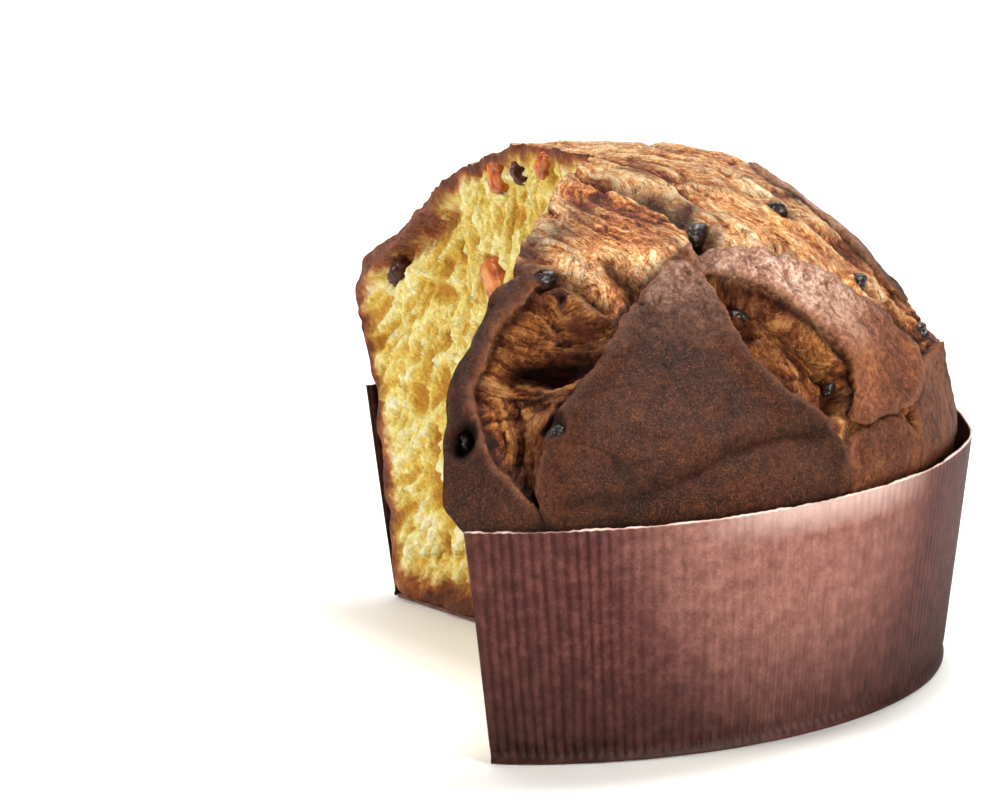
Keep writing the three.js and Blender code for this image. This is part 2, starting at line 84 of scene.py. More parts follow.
camera_data = bpy.data.cameras.new("camera")
camera = bpy.data.objects.new("camera", camera_data)
bpy.context.scene.collection.objects.link(camera)
camera_data.sensor_width = SENSOR_WIDTH
camera_data.lens = LENS
camera_data.clip_start = 0.05
camera_data.clip_end = 20.0
turn = Matrix((CAMERA_RIGHT, CAMERA_UP, tuple(-a for a in CAMERA_AHEAD))).transposed()
place = Vector(((CAMERA_PLACE[0] + AXIS_X) * MM, (CAMERA_PLACE[1] + AXIS_Y) * MM, CAMERA_PLACE[2] * MM))
camera.matrix_world = Matrix.Translation(place) @ turn.to_4x4()
bpy.context.scene.camera = camera
bpy.context.scene.view_settings.view_transform = "Standard"


# Paper wall of the mould.
# A band of brown greaseproof paper pressed into fine upright flutes, flared towards the rim and
# crimped along the foot. It was cut through with the cake where the slice came out.
FOOT_RADIUS = 97.6
CASE_HEIGHT = 62.0
PAPER = 0.55
FLUTE_PITCH = 2.7
FLUTE_DEPTH = 0.28
CRIMP_HEIGHT = 4.5
LIP_OUT = 0.8
LIP_HEIGHT = 1.2
CORNER = np.array([10.0, -11.7])
NEAR_DIRECTION = np.array([-0.378, -0.926]) / np.hypot(0.378, 0.926)
FAR_DIRECTION = np.array([-0.565, 0.825]) / np.hypot(0.565, 0.825)
# Which way the painted highlight on the paper faces, and how strong it is.
HIGHLIGHT_SIDE = math.radians(33)
HIGHLIGHT_STRENGTH = 0.46
RIM_SHEEN = 0.45
FLUTE_BEND = 0.25
FLUTE_WEAR = 0.6
FLATTENED = (0.5, 1.0, 1.8, 2.6)
WALL_SAG = 0.5
FOOT_PINCH = 0.35
PINCH_FLUTES = 0.2
PINCH_REACH = 1.4
RIM_WAVE = 0.25
RIM_BAND = 3.0
FOOT_CROWDING = 1.6
CREASE_ANGLE = math.radians(50)
WALL_COLUMNS = 1500
WALL_ROWS = 30


def linear(code):
    """sRGB hex to the linear colour that a shader works in, with full alpha."""
    parts = [int(code[i:i + 2], 16) / 255 for i in (1, 3, 5)]
    return tuple(c / 12.92 if c <= 0.04045 else ((c + 0.055) / 1.055) ** 2.4 for c in parts) + (1.0,)


def add_node(tree, kind, settings=(), links=()):
    """Adds one shader node. settings: attribute or socket and value. links: socket and source socket.
    A map range has its limits at sockets 1 and 2, and what it gives there at 3 and 4."""
    node = tree.nodes.new(kind)
    for key, value in dict(settings).items():
        if isinstance(key, str) and hasattr(node, key):
            setattr(node, key, value)
        else:
            node.inputs[key].default_value = value
    for key, source in dict(links).items():
        tree.links.new(source, node.inputs[key])
    return node


def new_material(name):
    """An empty node material with its shader and output joined."""
    material = bpy.data.materials.new(name)
    material.use_nodes = True
    tree = material.node_tree
    tree.nodes.clear()
    shader = tree.nodes.new("ShaderNodeBsdfPrincipled")
    output = tree.nodes.new("ShaderNodeOutputMaterial")
    tree.links.new(shader.outputs["BSDF"], output.inputs["Surface"])
    return material, tree, shader


def ramp(tree, source, stops):
    """A colour ramp with stops of place and hex colour."""
    node = tree.nodes.new("ShaderNodeValToRGB")
    elements = node.color_ramp.elements
    while len(elements) < len(stops):
        elements.new(0.5)
    for element, (at, code) in zip(elements, stops):
        element.position = at
        element.color = linear(code)
    tree.links.new(source, node.inputs["Fac"])
    return node.outputs["Color"]


def blend(tree, amount, first, second, kind="MIX"):
    """Colour that goes from the first to the second. Each is a socket or a hex colour."""
    node = add_node(tree, "ShaderNodeMix", {"data_type": "RGBA", "blend_type": kind})
    for socket, value in ((0, amount), (6, first), (7, second)):
        if isinstance(value, str):
            node.inputs[socket].default_value = linear(value)
        elif isinstance(value, (int, float)):
            node.inputs[socket].default_value = value
        else:
            tree.links.new(value, node.inputs[socket])
    return node.outputs[2]


def weigh(tree, operation, first, second=None):
    """One sum of the shader's values. Each is a socket or a number."""
    node = add_node(tree, "ShaderNodeMath", {"operation": operation})
    for socket, value in enumerate((first, second)):
        if isinstance(value, (int, float)):
            node.inputs[socket].default_value = value
        elif value is not None:
            tree.links.new(value, node.inputs[socket])
    return node.outputs[0]


def lattice(x, y, z):
    """Repeatable random numbers between -1 and 1, one for each place of a grid."""
    mixed = np.sin(x * 127.1 + y * 311.7 + z * 74.7) * 43758.5453
    return (mixed - np.floor(mixed)) * 2 - 1


def noise(x, y, z):
    """Repeatable smooth noise between -1 and 1."""
    x, y, z = np.broadcast_arrays(np.asarray(x, float), np.asarray(y, float), np.asarray(z, float))
    cells = [np.floor(v) for v in (x, y, z)]
    parts = [v - c for v, c in zip((x, y, z), cells)]
    parts = [t * t * (3 - 2 * t) for t in parts]
    total = np.zeros(x.shape)
    for corner in range(8):
        step = [(corner >> k) & 1 for k in range(3)]
        weight = np.ones(x.shape)
        for on, part in zip(step, parts):
            weight = weight * (part if on else 1 - part)
        total += weight * lattice(cells[0] + step[0], cells[1] + step[1], cells[2] + step[2])
    return total


def smoothstep(low, high, value):
    """0 below the first limit, 1 past the second, with a soft step between them."""
    t = np.clip((value - low) / (high - low), 0, 1)
    return t * t * (3 - 2 * t)


def mesh_object(name, points, faces):
    """An object at the origin from points in millimetres about the cake's axis."""
    mesh = bpy.data.meshes.new(name)
    places = np.asarray(points, float).copy()
    places[:, 0] += AXIS_X
    places[:, 1] += AXIS_Y
    mesh.from_pydata((places * MM).tolist(), [], faces.tolist() if hasattr(faces, "tolist") else faces)
    mesh.update()
    piece = bpy.data.objects.new(name, mesh)
    bpy.context.scene.collection.objects.link(piece)
    return piece


def only(piece):
    """Leaves one piece selected and active."""
    bpy.ops.object.select_all(action="DESELECT")
    piece.select_set(True)
    bpy.context.view_layer.objects.active = piece


def cut_azimuth(radius, direction):
    """The angle at which a circle about the axis meets a cut that starts at the corner."""
    along = direction @ CORNER
    reach = -along + np.sqrt(np.maximum(along ** 2 - CORNER @ CORNER + radius ** 2, 0))
    x = CORNER[0] + direction[0] * reach
    y = CORNER[1] + direction[1] * reach
    return np.arctan2(x, -y)


def wall_mesh():
    """The fluted band as a sheet with thickness, from the near cut round to the far one."""
    bpy.ops.object.select_all(action="DESELECT")
    bpy.ops.mesh.primitive_grid_add(x_subdivisions=WALL_COLUMNS, y_subdivisions=WALL_ROWS, size=2)
    wall = bpy.context.object
    wall.name = "paper_wall"
    co = np.empty(len(wall.data.vertices) * 3)
    wall.data.vertices.foreach_get("co", co)
    co = co.reshape(-1, 3)
    across = (co[:, 0] + 1) / 2
    # Rows are closer together in the crimped foot.
    up = ((co[:, 1] + 1) / 2) ** FOOT_CROWDING
    height = up * CASE_HEIGHT
    radius = FOOT_RADIUS + (RIM_RADIUS - FOOT_RADIUS) * up
    start = cut_azimuth(radius, NEAR_DIRECTION)
    end = cut_azimuth(radius, FAR_DIRECTION) + 2 * math.pi
    azimuth = start + (end - start) * across
    flutes = azimuth * RIM_RADIUS / FLUTE_PITCH
    bend = FLUTE_BEND * noise(azimuth * 14, height / 30, 4)
    deep = FLUTE_DEPTH * np.clip(0.75 + 0.7 * noise(azimuth * 4.2, height / 60, 9), 0.15, 1.4)
    # The flutes are nearly flat on the right, where the wall was handled.
    start_flat, full_flat, end_flat, past_flat = FLATTENED
    handled = smoothstep(start_flat, full_flat, azimuth) * smoothstep(past_flat, end_flat, azimuth)
    deep = deep * (1 - FLUTE_WEAR * handled)
    fade = smoothstep(0, CRIMP_HEIGHT, height)
    radius = radius + deep * fade * np.sin(2 * math.pi * (flutes + bend)) - FLUTE_DEPTH
    radius = radius + WALL_SAG * noise(azimuth * 5, height / 45, 2) * fade
    pinch = np.exp(-((height - CRIMP_HEIGHT * 0.8) / PINCH_REACH) ** 2)
    radius = radius - FOOT_PINCH * pinch + PINCH_FLUTES * pinch * np.sin(2 * math.pi * flutes)
    lip = 1 - smoothstep(LIP_HEIGHT * 0.6, LIP_HEIGHT * 1.6, height)
    radius = radius + LIP_OUT * lip
    rim = smoothstep(CASE_HEIGHT - RIM_BAND, CASE_HEIGHT, height)
    height = height - rim * (RIM_WAVE + RIM_WAVE * noise(azimuth * 30, 1.0, 5))
    co[:, 0] = radius * np.sin(azimuth) + AXIS_X
    co[:, 1] = -radius * np.cos(azimuth) + AXIS_Y
    co[:, 2] = height
    wall.data.vertices.foreach_set("co", (co * MM).ravel())
    only(wall)
    bpy.ops.object.mode_set(mode="EDIT")
    bpy.ops.mesh.select_all(action="SELECT")
    bpy.ops.mesh.normals_make_consistent(inside=False)
    bpy.ops.object.mode_set(mode="OBJECT")
    middle = wall.data.polygons[len(wall.data.polygons) // 2]
    from_axis = middle.center - Vector((AXIS_X * MM, AXIS_Y * MM, middle.center.z))
    if middle.normal.dot(from_axis) < 0:
        wall.data.flip_normals()
    thick = wall.modifiers.new("thickness", "SOLIDIFY")
    thick.thickness = PAPER * MM
    thick.offset = -1
    bpy.ops.object.modifier_apply(modifier="thickness")
    bpy.ops.object.shade_smooth_by_angle(angle=CREASE_ANGLE)
    return wall


def paper_material():
    """Greaseproof mould paper: matt, dark reddish brown, mottled by its fibres, a soft dull sheen, with
    painted shade at the foot, a painted highlight on one side and a painted sheen under the rim.
    """
    material, tree, shader = new_material("greaseproof_paper")
    place = add_node(tree, "ShaderNodeTexCoord").outputs["Object"]
    # Fibres are a few hundredths of a millimetre thick: drawn as clumps of about 0.6 mm.
    fibres = add_node(tree, "ShaderNodeTexNoise", {"Scale": 1400.0, "Detail": 4.0, "Roughness": 0.65},
                      {"Vector": place})
    clouds = add_node(tree, "ShaderNodeTexNoise", {"Scale": 260.0, "Detail": 5.0, "Roughness": 0.7},
                      {"Vector": place})
    mixed = weigh(tree, "ADD", weigh(tree, "MULTIPLY", fibres.outputs["Fac"], 0.45), clouds.outputs["Fac"])
    tone = ramp(tree, mixed, [(0.50, "#2c1310"), (0.70, "#3b1c18"), (0.90, "#4f2c26")])
    split = add_node(tree, "ShaderNodeSeparateXYZ", (), {0: place})
    # Painted shade: the paper is painted darker towards the foot.
    clear_of_foot_shade = add_node(tree, "ShaderNodeMapRange", {1: 0.001, 2: 0.034, 3: 0.3, 4: 1.0},
                   {0: split.outputs["Z"]}).outputs[0]
    paper_tone = blend(tree, clear_of_foot_shade, ramp(tree, mixed, [(0.52, "#0d0504"), (0.88, "#22110d")]), tone)
    # Painted sheen: a pale band is painted under the rim on the right front, where it catches the light.
    # The cut edge of the paper is pale.
    rim = add_node(tree, "ShaderNodeMapRange", {1: 0.0535, 2: 0.0605, 3: 0.0, 4: RIM_SHEEN},
                   {0: split.outputs["Z"]}).outputs[0]
    side = add_node(tree, "ShaderNodeMapRange", {1: 0.005, 2: 0.03, 3: 0.0, 4: 1.0},
                    {0: split.outputs["X"]}).outputs[0]
    front = add_node(tree, "ShaderNodeMapRange", {1: -0.055, 2: -0.075, 3: 0.0, 4: 1.0},
                     {0: split.outputs["Y"]}).outputs[0]
    rim_sheen = weigh(tree, "MULTIPLY", weigh(tree, "MULTIPLY", rim, side), front)
    # Painted highlight: one side of the wall is painted lighter where the light falls on it, less so down
    # in the painted shade at the foot.
    highlight_x = weigh(tree, "MULTIPLY", weigh(tree, "SUBTRACT", split.outputs["X"], AXIS_X * MM),
                   math.sin(HIGHLIGHT_SIDE))
    highlight_y = weigh(tree, "MULTIPLY", weigh(tree, "SUBTRACT", split.outputs["Y"], AXIS_Y * MM),
                   -math.cos(HIGHLIGHT_SIDE))
    paper_highlight = weigh(tree, "ADD", highlight_x, highlight_y)
    paper_highlight = add_node(tree, "ShaderNodeMapRange",
                    {"interpolation_type": "SMOOTHSTEP", 1: 0.091, 2: 0.105, 3: 0.0, 4: HIGHLIGHT_STRENGTH},
                    {0: paper_highlight}).outputs[0]
    highlight_tone = ramp(tree, mixed, [(0.50, "#6b3f36"), (0.90, "#946a5f")])
    paper_tone = blend(tree, weigh(tree, "MULTIPLY", paper_highlight, clear_of_foot_shade), paper_tone, highlight_tone)
    # Painted sheen under the rim.
    paper_tone = blend(tree, rim_sheen, paper_tone, "#b7a199")
    edge = add_node(tree, "ShaderNodeMapRange", {1: 0.0614, 2: 0.0618, 3: 0.0, 4: 1.0},
                    {0: split.outputs["Z"]}).outputs[0]
    tree.links.new(blend(tree, edge, paper_tone, "#c9aaa0"), shader.inputs["Base Color"])
    bump = add_node(tree, "ShaderNodeBump", {"Strength": 0.35, "Distance": 0.12 * MM}, {"Height": mixed})
    tree.links.new(bump.outputs[0], shader.inputs["Normal"])
    shader.inputs["Roughness"].default_value = 0.55
    shader.inputs["IOR"].default_value = 1.45
    shader.inputs["Specular IOR Level"].default_value = 0.12
    return material


paper_wall = wall_mesh()
paper_wall.data.materials.append(paper_material())
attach(paper_wall, "root")
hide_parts("case_wall")


# Card base of the mould.
# A flat disc of brown card that the paper wall is glued to, cut with the cake. It carries the loaf.
def card_material():
    """Uncoated card, darkened by butter: matt brown with soft blotches."""
    material, tree, shader = new_material("base_card")
    place = add_node(tree, "ShaderNodeTexCoord").outputs["Object"]
    blotch = add_node(tree, "ShaderNodeTexNoise", {"Scale": 220.0, "Detail": 5.0}, {"Vector": place})
    tree.links.new(ramp(tree, blotch.outputs["Fac"], [(0.35, "#4d2b22"), (0.65, "#744638")]),
                   shader.inputs["Base Color"])
    bump = add_node(tree, "ShaderNodeBump", {"Strength": 0.3, "Distance": 0.1 * MM},
                    {"Height": blotch.outputs["Fac"]})
    tree.links.new(bump.outputs[0], shader.inputs["Normal"])
    shader.inputs["Roughness"].default_value = 0.75
    return material


case_base = frame["nodes"]["case_base"]
case_base.data.materials.clear()
case_base.data.materials.append(card_material())


# Loaf: crust of the dome.
# Sweet dough that rose over the rim, burst open along its scores and browned. Smooth dark skin is
# what the dough wore before it burst; the golden stringy dough is what the bursts laid bare.
DOME_RADIUS = 103.0
DOME_RISE = 80.0
DOME_SIDE_POWER = 2.44
DOME_TOP_POWER = 1.54
PROFILE_STEPS = 600
RINGS = 195
INNER_RINGS = 56
CRUST_THICKNESS = 3.2
CRUST_SKIRT = 14.0
SKIRT_ROWS = 6
SLOPE_STEP = 0.4
LOAF_BOTTOM = 1.2
LOAF_FOOT_RADIUS = 95.6

steps = np.linspace(0, math.pi / 2, PROFILE_STEPS + 1)
outline_radius = DOME_RADIUS * np.sin(steps) ** (2 / DOME_SIDE_POWER)
outline_height = CASE_HEIGHT + DOME_RISE * np.maximum(np.cos(steps), 0) ** (2 / DOME_TOP_POWER)
outline_reach = np.concatenate([[0], np.cumsum(np.hypot(np.diff(outline_radius), np.diff(outline_height)))])
RIM_REACH = outline_reach[-1]


def flat(azimuth, height):
    """A place on the crust laid flat: distance from the crown, turned by the azimuth in degrees."""
    height = np.asarray(height, float)
    on_dome = np.interp(-height, -outline_height, outline_reach)
    reach = np.where(height < CASE_HEIGHT, RIM_REACH + CASE_HEIGHT - height, on_dome)
    angle = np.radians(azimuth)
    return np.stack([reach * np.sin(angle), -reach * np.cos(angle)], -1)


def rounded(line, closed):
    """Cuts the corners of a line twice, as a soft dough edge has none."""
    line = np.asarray(line, float)
    for _ in range(2):
        after = np.roll(line, -1, axis=0) if closed else line[1:]
        before = line if closed else line[:-1]
        cut = np.stack([before * 0.75 + after * 0.25, before * 0.25 + after * 0.75], 1).reshape(-1, 2)
        line = cut if closed else np.concatenate([line[:1], cut, line[-1:]])
    return line


def distance_to(points, line, closed):
    """Distance of each point from a line, and the nearest place on it."""
    best = np.full(len(points), np.inf)
    nearest = np.zeros_like(points)
    count = len(line) if closed else len(line) - 1
    for i in range(count):
        a = line[i]
        side = line[(i + 1) % len(line)] - a
        t = np.clip(((points - a) @ side) / max(side @ side, 1e-9), 0, 1)
        foot = a + t[:, None] * side
        distance = np.hypot(*(points - foot).T)
        closer = distance < best
        best[closer] = distance[closer]
        nearest[closer] = foot[closer]
    return best, nearest


def depth_inside(points, line):
    """Distance inside a closed outline, negative outside it, and the way out across the edge."""
    inside = np.zeros(len(points), bool)
    for i in range(len(line)):
        a = line[i]
        b = line[(i + 1) % len(line)]
        if a[1] == b[1]:
            continue
        crosses = (a[1] > points[:, 1]) != (b[1] > points[:, 1])
        inside ^= crosses & (points[:, 0] < (b[0] - a[0]) * (points[:, 1] - a[1]) / (b[1] - a[1]) + a[0])
    distance, nearest = distance_to(points, line, True)
    way = nearest - points
    way = way / np.maximum(np.hypot(*way.T), 1e-6)[:, None]
    way[~inside] *= -1
    return np.where(inside, distance, -distance), way


# Skin flaps: lift, height of the curled lip, how far the edge overhangs, tone (0 darkest, 1 pale),
# and the outline as azimuth in degrees and height in millimetres.
FLAPS = {
    "centre": (3.0, 1.8, 1.6, 0.1, [(24, 119), (13, 112), (6, 100), (0, 91), (-4, 80), (-5, 70), (-3, 40),
                                    (40, 40), (42, 77), (34, 86), (28, 98), (27, 111)]),
    "ribbon": (3.4, 1.4, 2.8, 0.85, [(23, 120), (31, 119.5), (39, 117.5), (48, 114), (55, 109), (60, 103),
                                     (64, 98), (67, 92), (66, 84), (60, 78), (52, 78.5), (44.5, 77.5),
                                     (47.5, 83), (49, 89), (48.6, 96), (46.6, 103), (43, 109),
                                     (37, 113.5), (31, 116.8)]),
    "left": (2.8, 1.8, 1.6, 0.0, [(-2, 119), (-7, 115), (-11, 109), (-14, 102), (-15.5, 95), (-14, 88),
                                   (-12, 77), (-8, 72), (-4, 64), (-4, 40), (-60, 40), (-60, 108),
                                   (-20, 113), (-12, 115.5), (-7, 117.5)]),
    "lump": (2.4, 0.8, 0.6, 0.65, [(42, 74), (47, 76), (54, 77), (58, 74), (60, 66), (58, 40), (41, 40)]),
    "right": (2.0, 0.8, 0.8, 0.55, [(66, 82), (72, 84), (80, 84), (92, 84), (112, 86), (116, 40), (88, 40),
                                    (61, 40), (60, 72), (62, 78)]),
    "back": (1.2, 0.6, 1.2, 0.15, [(84, 96), (83, 109), (86, 123), (97, 131), (118, 128), (140, 116),
                                  (136, 100), (112, 96), (92, 98)]),
    "far": (0.9, 0.6, 1.4, 0.3, [(122, 88), (140, 94), (156, 108), (172, 114), (196, 114), (230, 113),
                                 (230, 40), (202, 40), (174, 40), (146, 40), (119, 40)]),
}

# Places where the dough tore open and sank: depth, softness of the side, darkness of the painted shade in
# the hollow, outline.
BASINS = {
    "left": (4.6, 7, 0.3, [(-2, 117), (4, 112), (10, 106), (3, 99), (-3, 88), (-5, 76), (-6, 68), (-12, 78),
                           (-12, 88), (-14, 98), (-9, 110)]),
    "ledge": (4.8, 2.6, 1.0, [(-13, 101.5), (-8, 105), (-3, 105), (2, 103.5), (6.5, 102), (5.5, 97),
                              (0, 95.5), (-6, 96.5), (-12, 97)]),
    "tear": (4.8, 2.4, 0.42, [(26, 117), (33, 114.5), (38, 111.5), (43, 107), (46, 100), (47.5, 92),
                              (47, 84), (43, 78.5), (36, 84), (30, 98), (27, 109)]),
    "pocket": (4.0, 4, 0.95, [(-17, 88), (-14, 88), (-13, 82), (-16, 78), (-18, 80)]),
    "right": (3.0, 6, 0.1, [(62, 96), (70, 100), (76, 94), (74, 88), (66, 90)]),
}

# Cracks: width, depth, how much of it goes through skin, centre line.
CRACKS = {
    "crown": (4.5, 4.2, 1.0, [(14, 139), (26, 136), (32, 131), (33, 124), (30, 119)]),
    "lobe": (3.0, 2.4, 1.0, [(9, 121), (12, 116), (13, 111)]),
    "under_lobe": (3.2, 3.0, 1.0, [(-4, 119), (2, 118), (7, 112)]),
    "back_edge": (3.0, 2.6, 1.0, [(74, 96), (73, 110), (75, 124), (84, 134)]),
    "under_ribbon": (3.2, 3.8, 0.1, [(32, 114), (38.5, 109), (42.2, 104), (44.8, 97.5), (45.6, 90),
                                     (44, 82)]),
    "wrinkle": (2.6, 1.8, 1.0, [(-1, 68), (4, 67), (11, 69), (22, 76), (32, 78), (40, 77)]),
    "back_top": (3.0, 2.2, 1.0, [(100, 139), (150, 136), (185, 134), (204, 128)]),
    "back_side": (3.0, 2.4, 1.0, [(118, 92), (128, 100), (150, 112), (168, 122)]),
}

# Soft swellings: azimuth, height, reach across, rise.
SWELLINGS = [(215, 88, 19, 16), (182, 92, 26, 3.0), (84, 88, 15, 1.0), (16, 122, 15, 2.4),
             (60, 120, 18, 1.6), (125, 130, 20, 2.8)]

# Scorched dough: azimuth, height, reach across, strength.
SCORCHES = [(42, 139, 8, 0.7), (6, 133, 6, 0.8), (-1, 129, 6, 0.9), (-7, 126, 7, 1.0), (-10, 121, 7, 1.0),
            (-11, 115, 5, 1.0), (-5, 118, 5, 1.0), (32, 134, 5, 0.9), (37, 130, 6, 1.0), (24, 126, 5, 0.4),
            (88, 126, 9, 0.6), (70, 122, 6, 0.35), (52, 117, 7, 0.4), (66, 100, 6, 0.4), (84, 112, 8, 0.7),
            (130, 120, 12, 0.5), (180, 128, 12, 0.6), (160, 112, 12, 0.5), (60, 134, 5, 0.5),
            (14, 116, 5, 0.5), (3, 111, 5, 0.4), (70, 92, 6, 0.6)]

# Dough that came apart in flakes: azimuth, height, reach across.
FLAKED = [(8, 133, 12), (25, 139, 10), (-5, 126, 9), (5, 106, 10), (40, 128, 8)]

# The long tear at the right of the middle flap: azimuth and height.
TEAR = [(24, 122), (28, 114), (35, 104), (41, 92), (44, 76)]

# Ragged edges of the torn dough: size of the raggedness, share, seed.
RAGGED_EDGE = [(9, 1.0, 31), (3.1, 0.6, 33), (1.3, 0.5, 35)]

# Dough that stretched smooth instead of tearing: azimuth, height, reach across.
STRETCHED = [(58, 115, 22), (70, 104, 14), (52, 128, 12), (216, 122, 22), (205, 134, 14)]

LIP_WIDTH = 4.5
FLAP_SLOPE = 1.2
DOUGH_SINK = 1.2
WAVE = 0.9
WAVE_LENGTH = 17.0
RIPPLE = 0.35
RIPPLE_LENGTH = 8.0
FIBRE_SOURCE = np.array([-60.0, 40.0])
FIBRE_TURN = 80.0
TEAR_SIDE = 16
HOLLOW_REACH = 110
TEAR_REACH = 112
OPEN = 0.3
FIBRE_DRIFT = 6.0
FLAKE_PITCH = 4.4
RAGGED_REACH = 0.8
PLEAT_PITCH = 1.7
POCKET_DEPTH = 1.1
POCKET_RIM = 1.6
CUT_MARGIN = 7
SKIN_MARGIN = 6
BAKED_RAISINS = []

# Height in millimetres of each kind of relief, on the torn dough and on the skin.
DOUGH = {"roll": 0.42, "strand": 0.55, "fine": 0.5, "flake": 0.9, "pit": 1.5, "finest": 0.28, "rift": 1.3}
SKIN = {"crease": 0.5, "dent": 0.3, "grain": 0.16, "pleat": 0.26, "hide": 0.14}


def raisin_spots():
    """Flat-map centre and size of the raisins that sit in the crust."""
    spots = []
    for name in frame["nodes"]:
        if not name.startswith("raisin"):
            continue
        low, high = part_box(name)
        centre = (low + high) / 2 / MM
        x, y = centre.x - AXIS_X, centre.y - AXIS_Y
        surface = np.interp(-centre.z, -outline_height, outline_radius)
        from_corner = np.array([x, y]) - CORNER
        from_far = abs(from_corner[0] * FAR_DIRECTION[1] - from_corner[1] * FAR_DIRECTION[0])
        from_near = abs(from_corner[0] * NEAR_DIRECTION[1] - from_corner[1] * NEAR_DIRECTION[0])
        at_far_cut = from_far < CUT_MARGIN and from_corner @ FAR_DIRECTION > 0
        at_near_cut = from_near < CUT_MARGIN and np.hypot(x, y) < surface - SKIN_MARGIN
        if not (at_far_cut or at_near_cut):
            size = sorted((high - low) / MM)
            BAKED_RAISINS.append(name)
            spots.append((flat(math.degrees(math.atan2(x, -y)), centre.z), 0.5 * size[1]))
    return spots


RAISIN_SPOTS = raisin_spots()


def strands(points, basin):
    """Places across and along the strands of the torn dough. They fan out from the left of the crown,
    run level in the hollow at the left, and follow the long tear at the right."""
    px, py = points.T
    drift = FIBRE_DRIFT * np.stack([noise(px / 26, py / 26, 61), noise(px / 26, py / 26, 71)], 1)
    away = points - FIBRE_SOURCE + drift
    along = np.hypot(*away.T)
    across = np.arctan2(away[:, 1], away[:, 0]) * FIBRE_TURN
    reach = np.hypot(px, py)
    level = basin * (px < TEAR_SIDE) * (reach < HOLLOW_REACH) > OPEN
    across = np.where(level, reach, across)
    along = np.where(level, np.arctan2(px, -py) * RIM_REACH * 0.8, along)
    tear_line = rounded(flat(*np.array(TEAR).T), False)
    tear_away, tear_foot = distance_to(points, tear_line, False)
    in_tear = basin * (px > TEAR_SIDE) * (reach < TEAR_REACH) > OPEN
    across = np.where(in_tear, tear_away, across)
    along = np.where(in_tear, np.hypot(*tear_foot.T), along)
    a = across + 1.9 * noise(px / 11, py / 11, 62) + 0.6 * noise(px / 4.3, py / 4.3, 64)
    b = along + 3.0 * noise(px / 9, py / 9, 63)
    return a, b


def dough_relief(px, py, a, b, basin, torn_up, calm):
    """Rise of the torn dough above its smooth form: rolls, strands, flakes, pits and rifts."""
    roll = 1 - 2 * np.abs(noise(a / 7, b / 30, 12))
    middle = noise(a / 2.6, b / 12, 5)
    fine = noise(a / 1.25, b / 6, 6)
    terrace = a / FLAKE_PITCH + 1.2 * noise(b / 14, a / 12, 14)
    flake = (terrace - np.floor(terrace)) - 0.5
    rough = np.clip(0.55 + 0.6 * noise(px / 17, py / 17, 77), 0.15, 1.0)
    rough = np.maximum(np.maximum(rough, basin), torn_up) * (1 - 0.75 * calm)
    pits = smoothstep(0.42, 0.8, noise(a / 3.8, b / 9, 15)) * rough
    tornness = 0.35 + 0.65 * rough
    finest = noise(px / 0.95, py / 0.95, 27)
    rifts = np.maximum(1 - np.abs(noise(a / 5.5, b / 17, 29)) * 6, 0)
    rifts = rifts * smoothstep(-0.3, 0.2, noise(px / 13, py / 13, 37))
    detail = DOUGH["roll"] * roll + DOUGH["strand"] * middle * tornness + DOUGH["fine"] * fine * tornness
    detail = detail - DOUGH["flake"] * flake * rough - DOUGH["pit"] * pits
    return detail + DOUGH["finest"] * finest * tornness - DOUGH["rift"] * rifts * (1 - 0.4 * calm)


def skin_relief(px, py, lines):
    """Rise of the skin above its smooth form: creases, dents, hide, grain, and pleats at the edges."""
    creases = np.maximum(1 - np.abs(noise(px / 15, py / 8, 19)) * 9, 0)
    creases = creases * smoothstep(-0.1, 0.4, noise(px / 24, py / 24, 23))
    dents = smoothstep(0.55, 0.9, noise(px / 3.0, py / 2.4, 17))
    coarse = 1 - 2 * np.abs(noise(px / 4.6, py / 3.6, 41))
    hide = coarse + 0.7 * (1 - 2 * np.abs(noise(px / 2.2, py / 1.9, 43)))
    grain = noise(px / 1.7, py / 1.7, 22)
    detail = -SKIN["crease"] * creases - SKIN["dent"] * dents + SKIN["grain"] * grain
    return detail + SKIN["pleat"] * lines - SKIN["hide"] * (hide - 1)


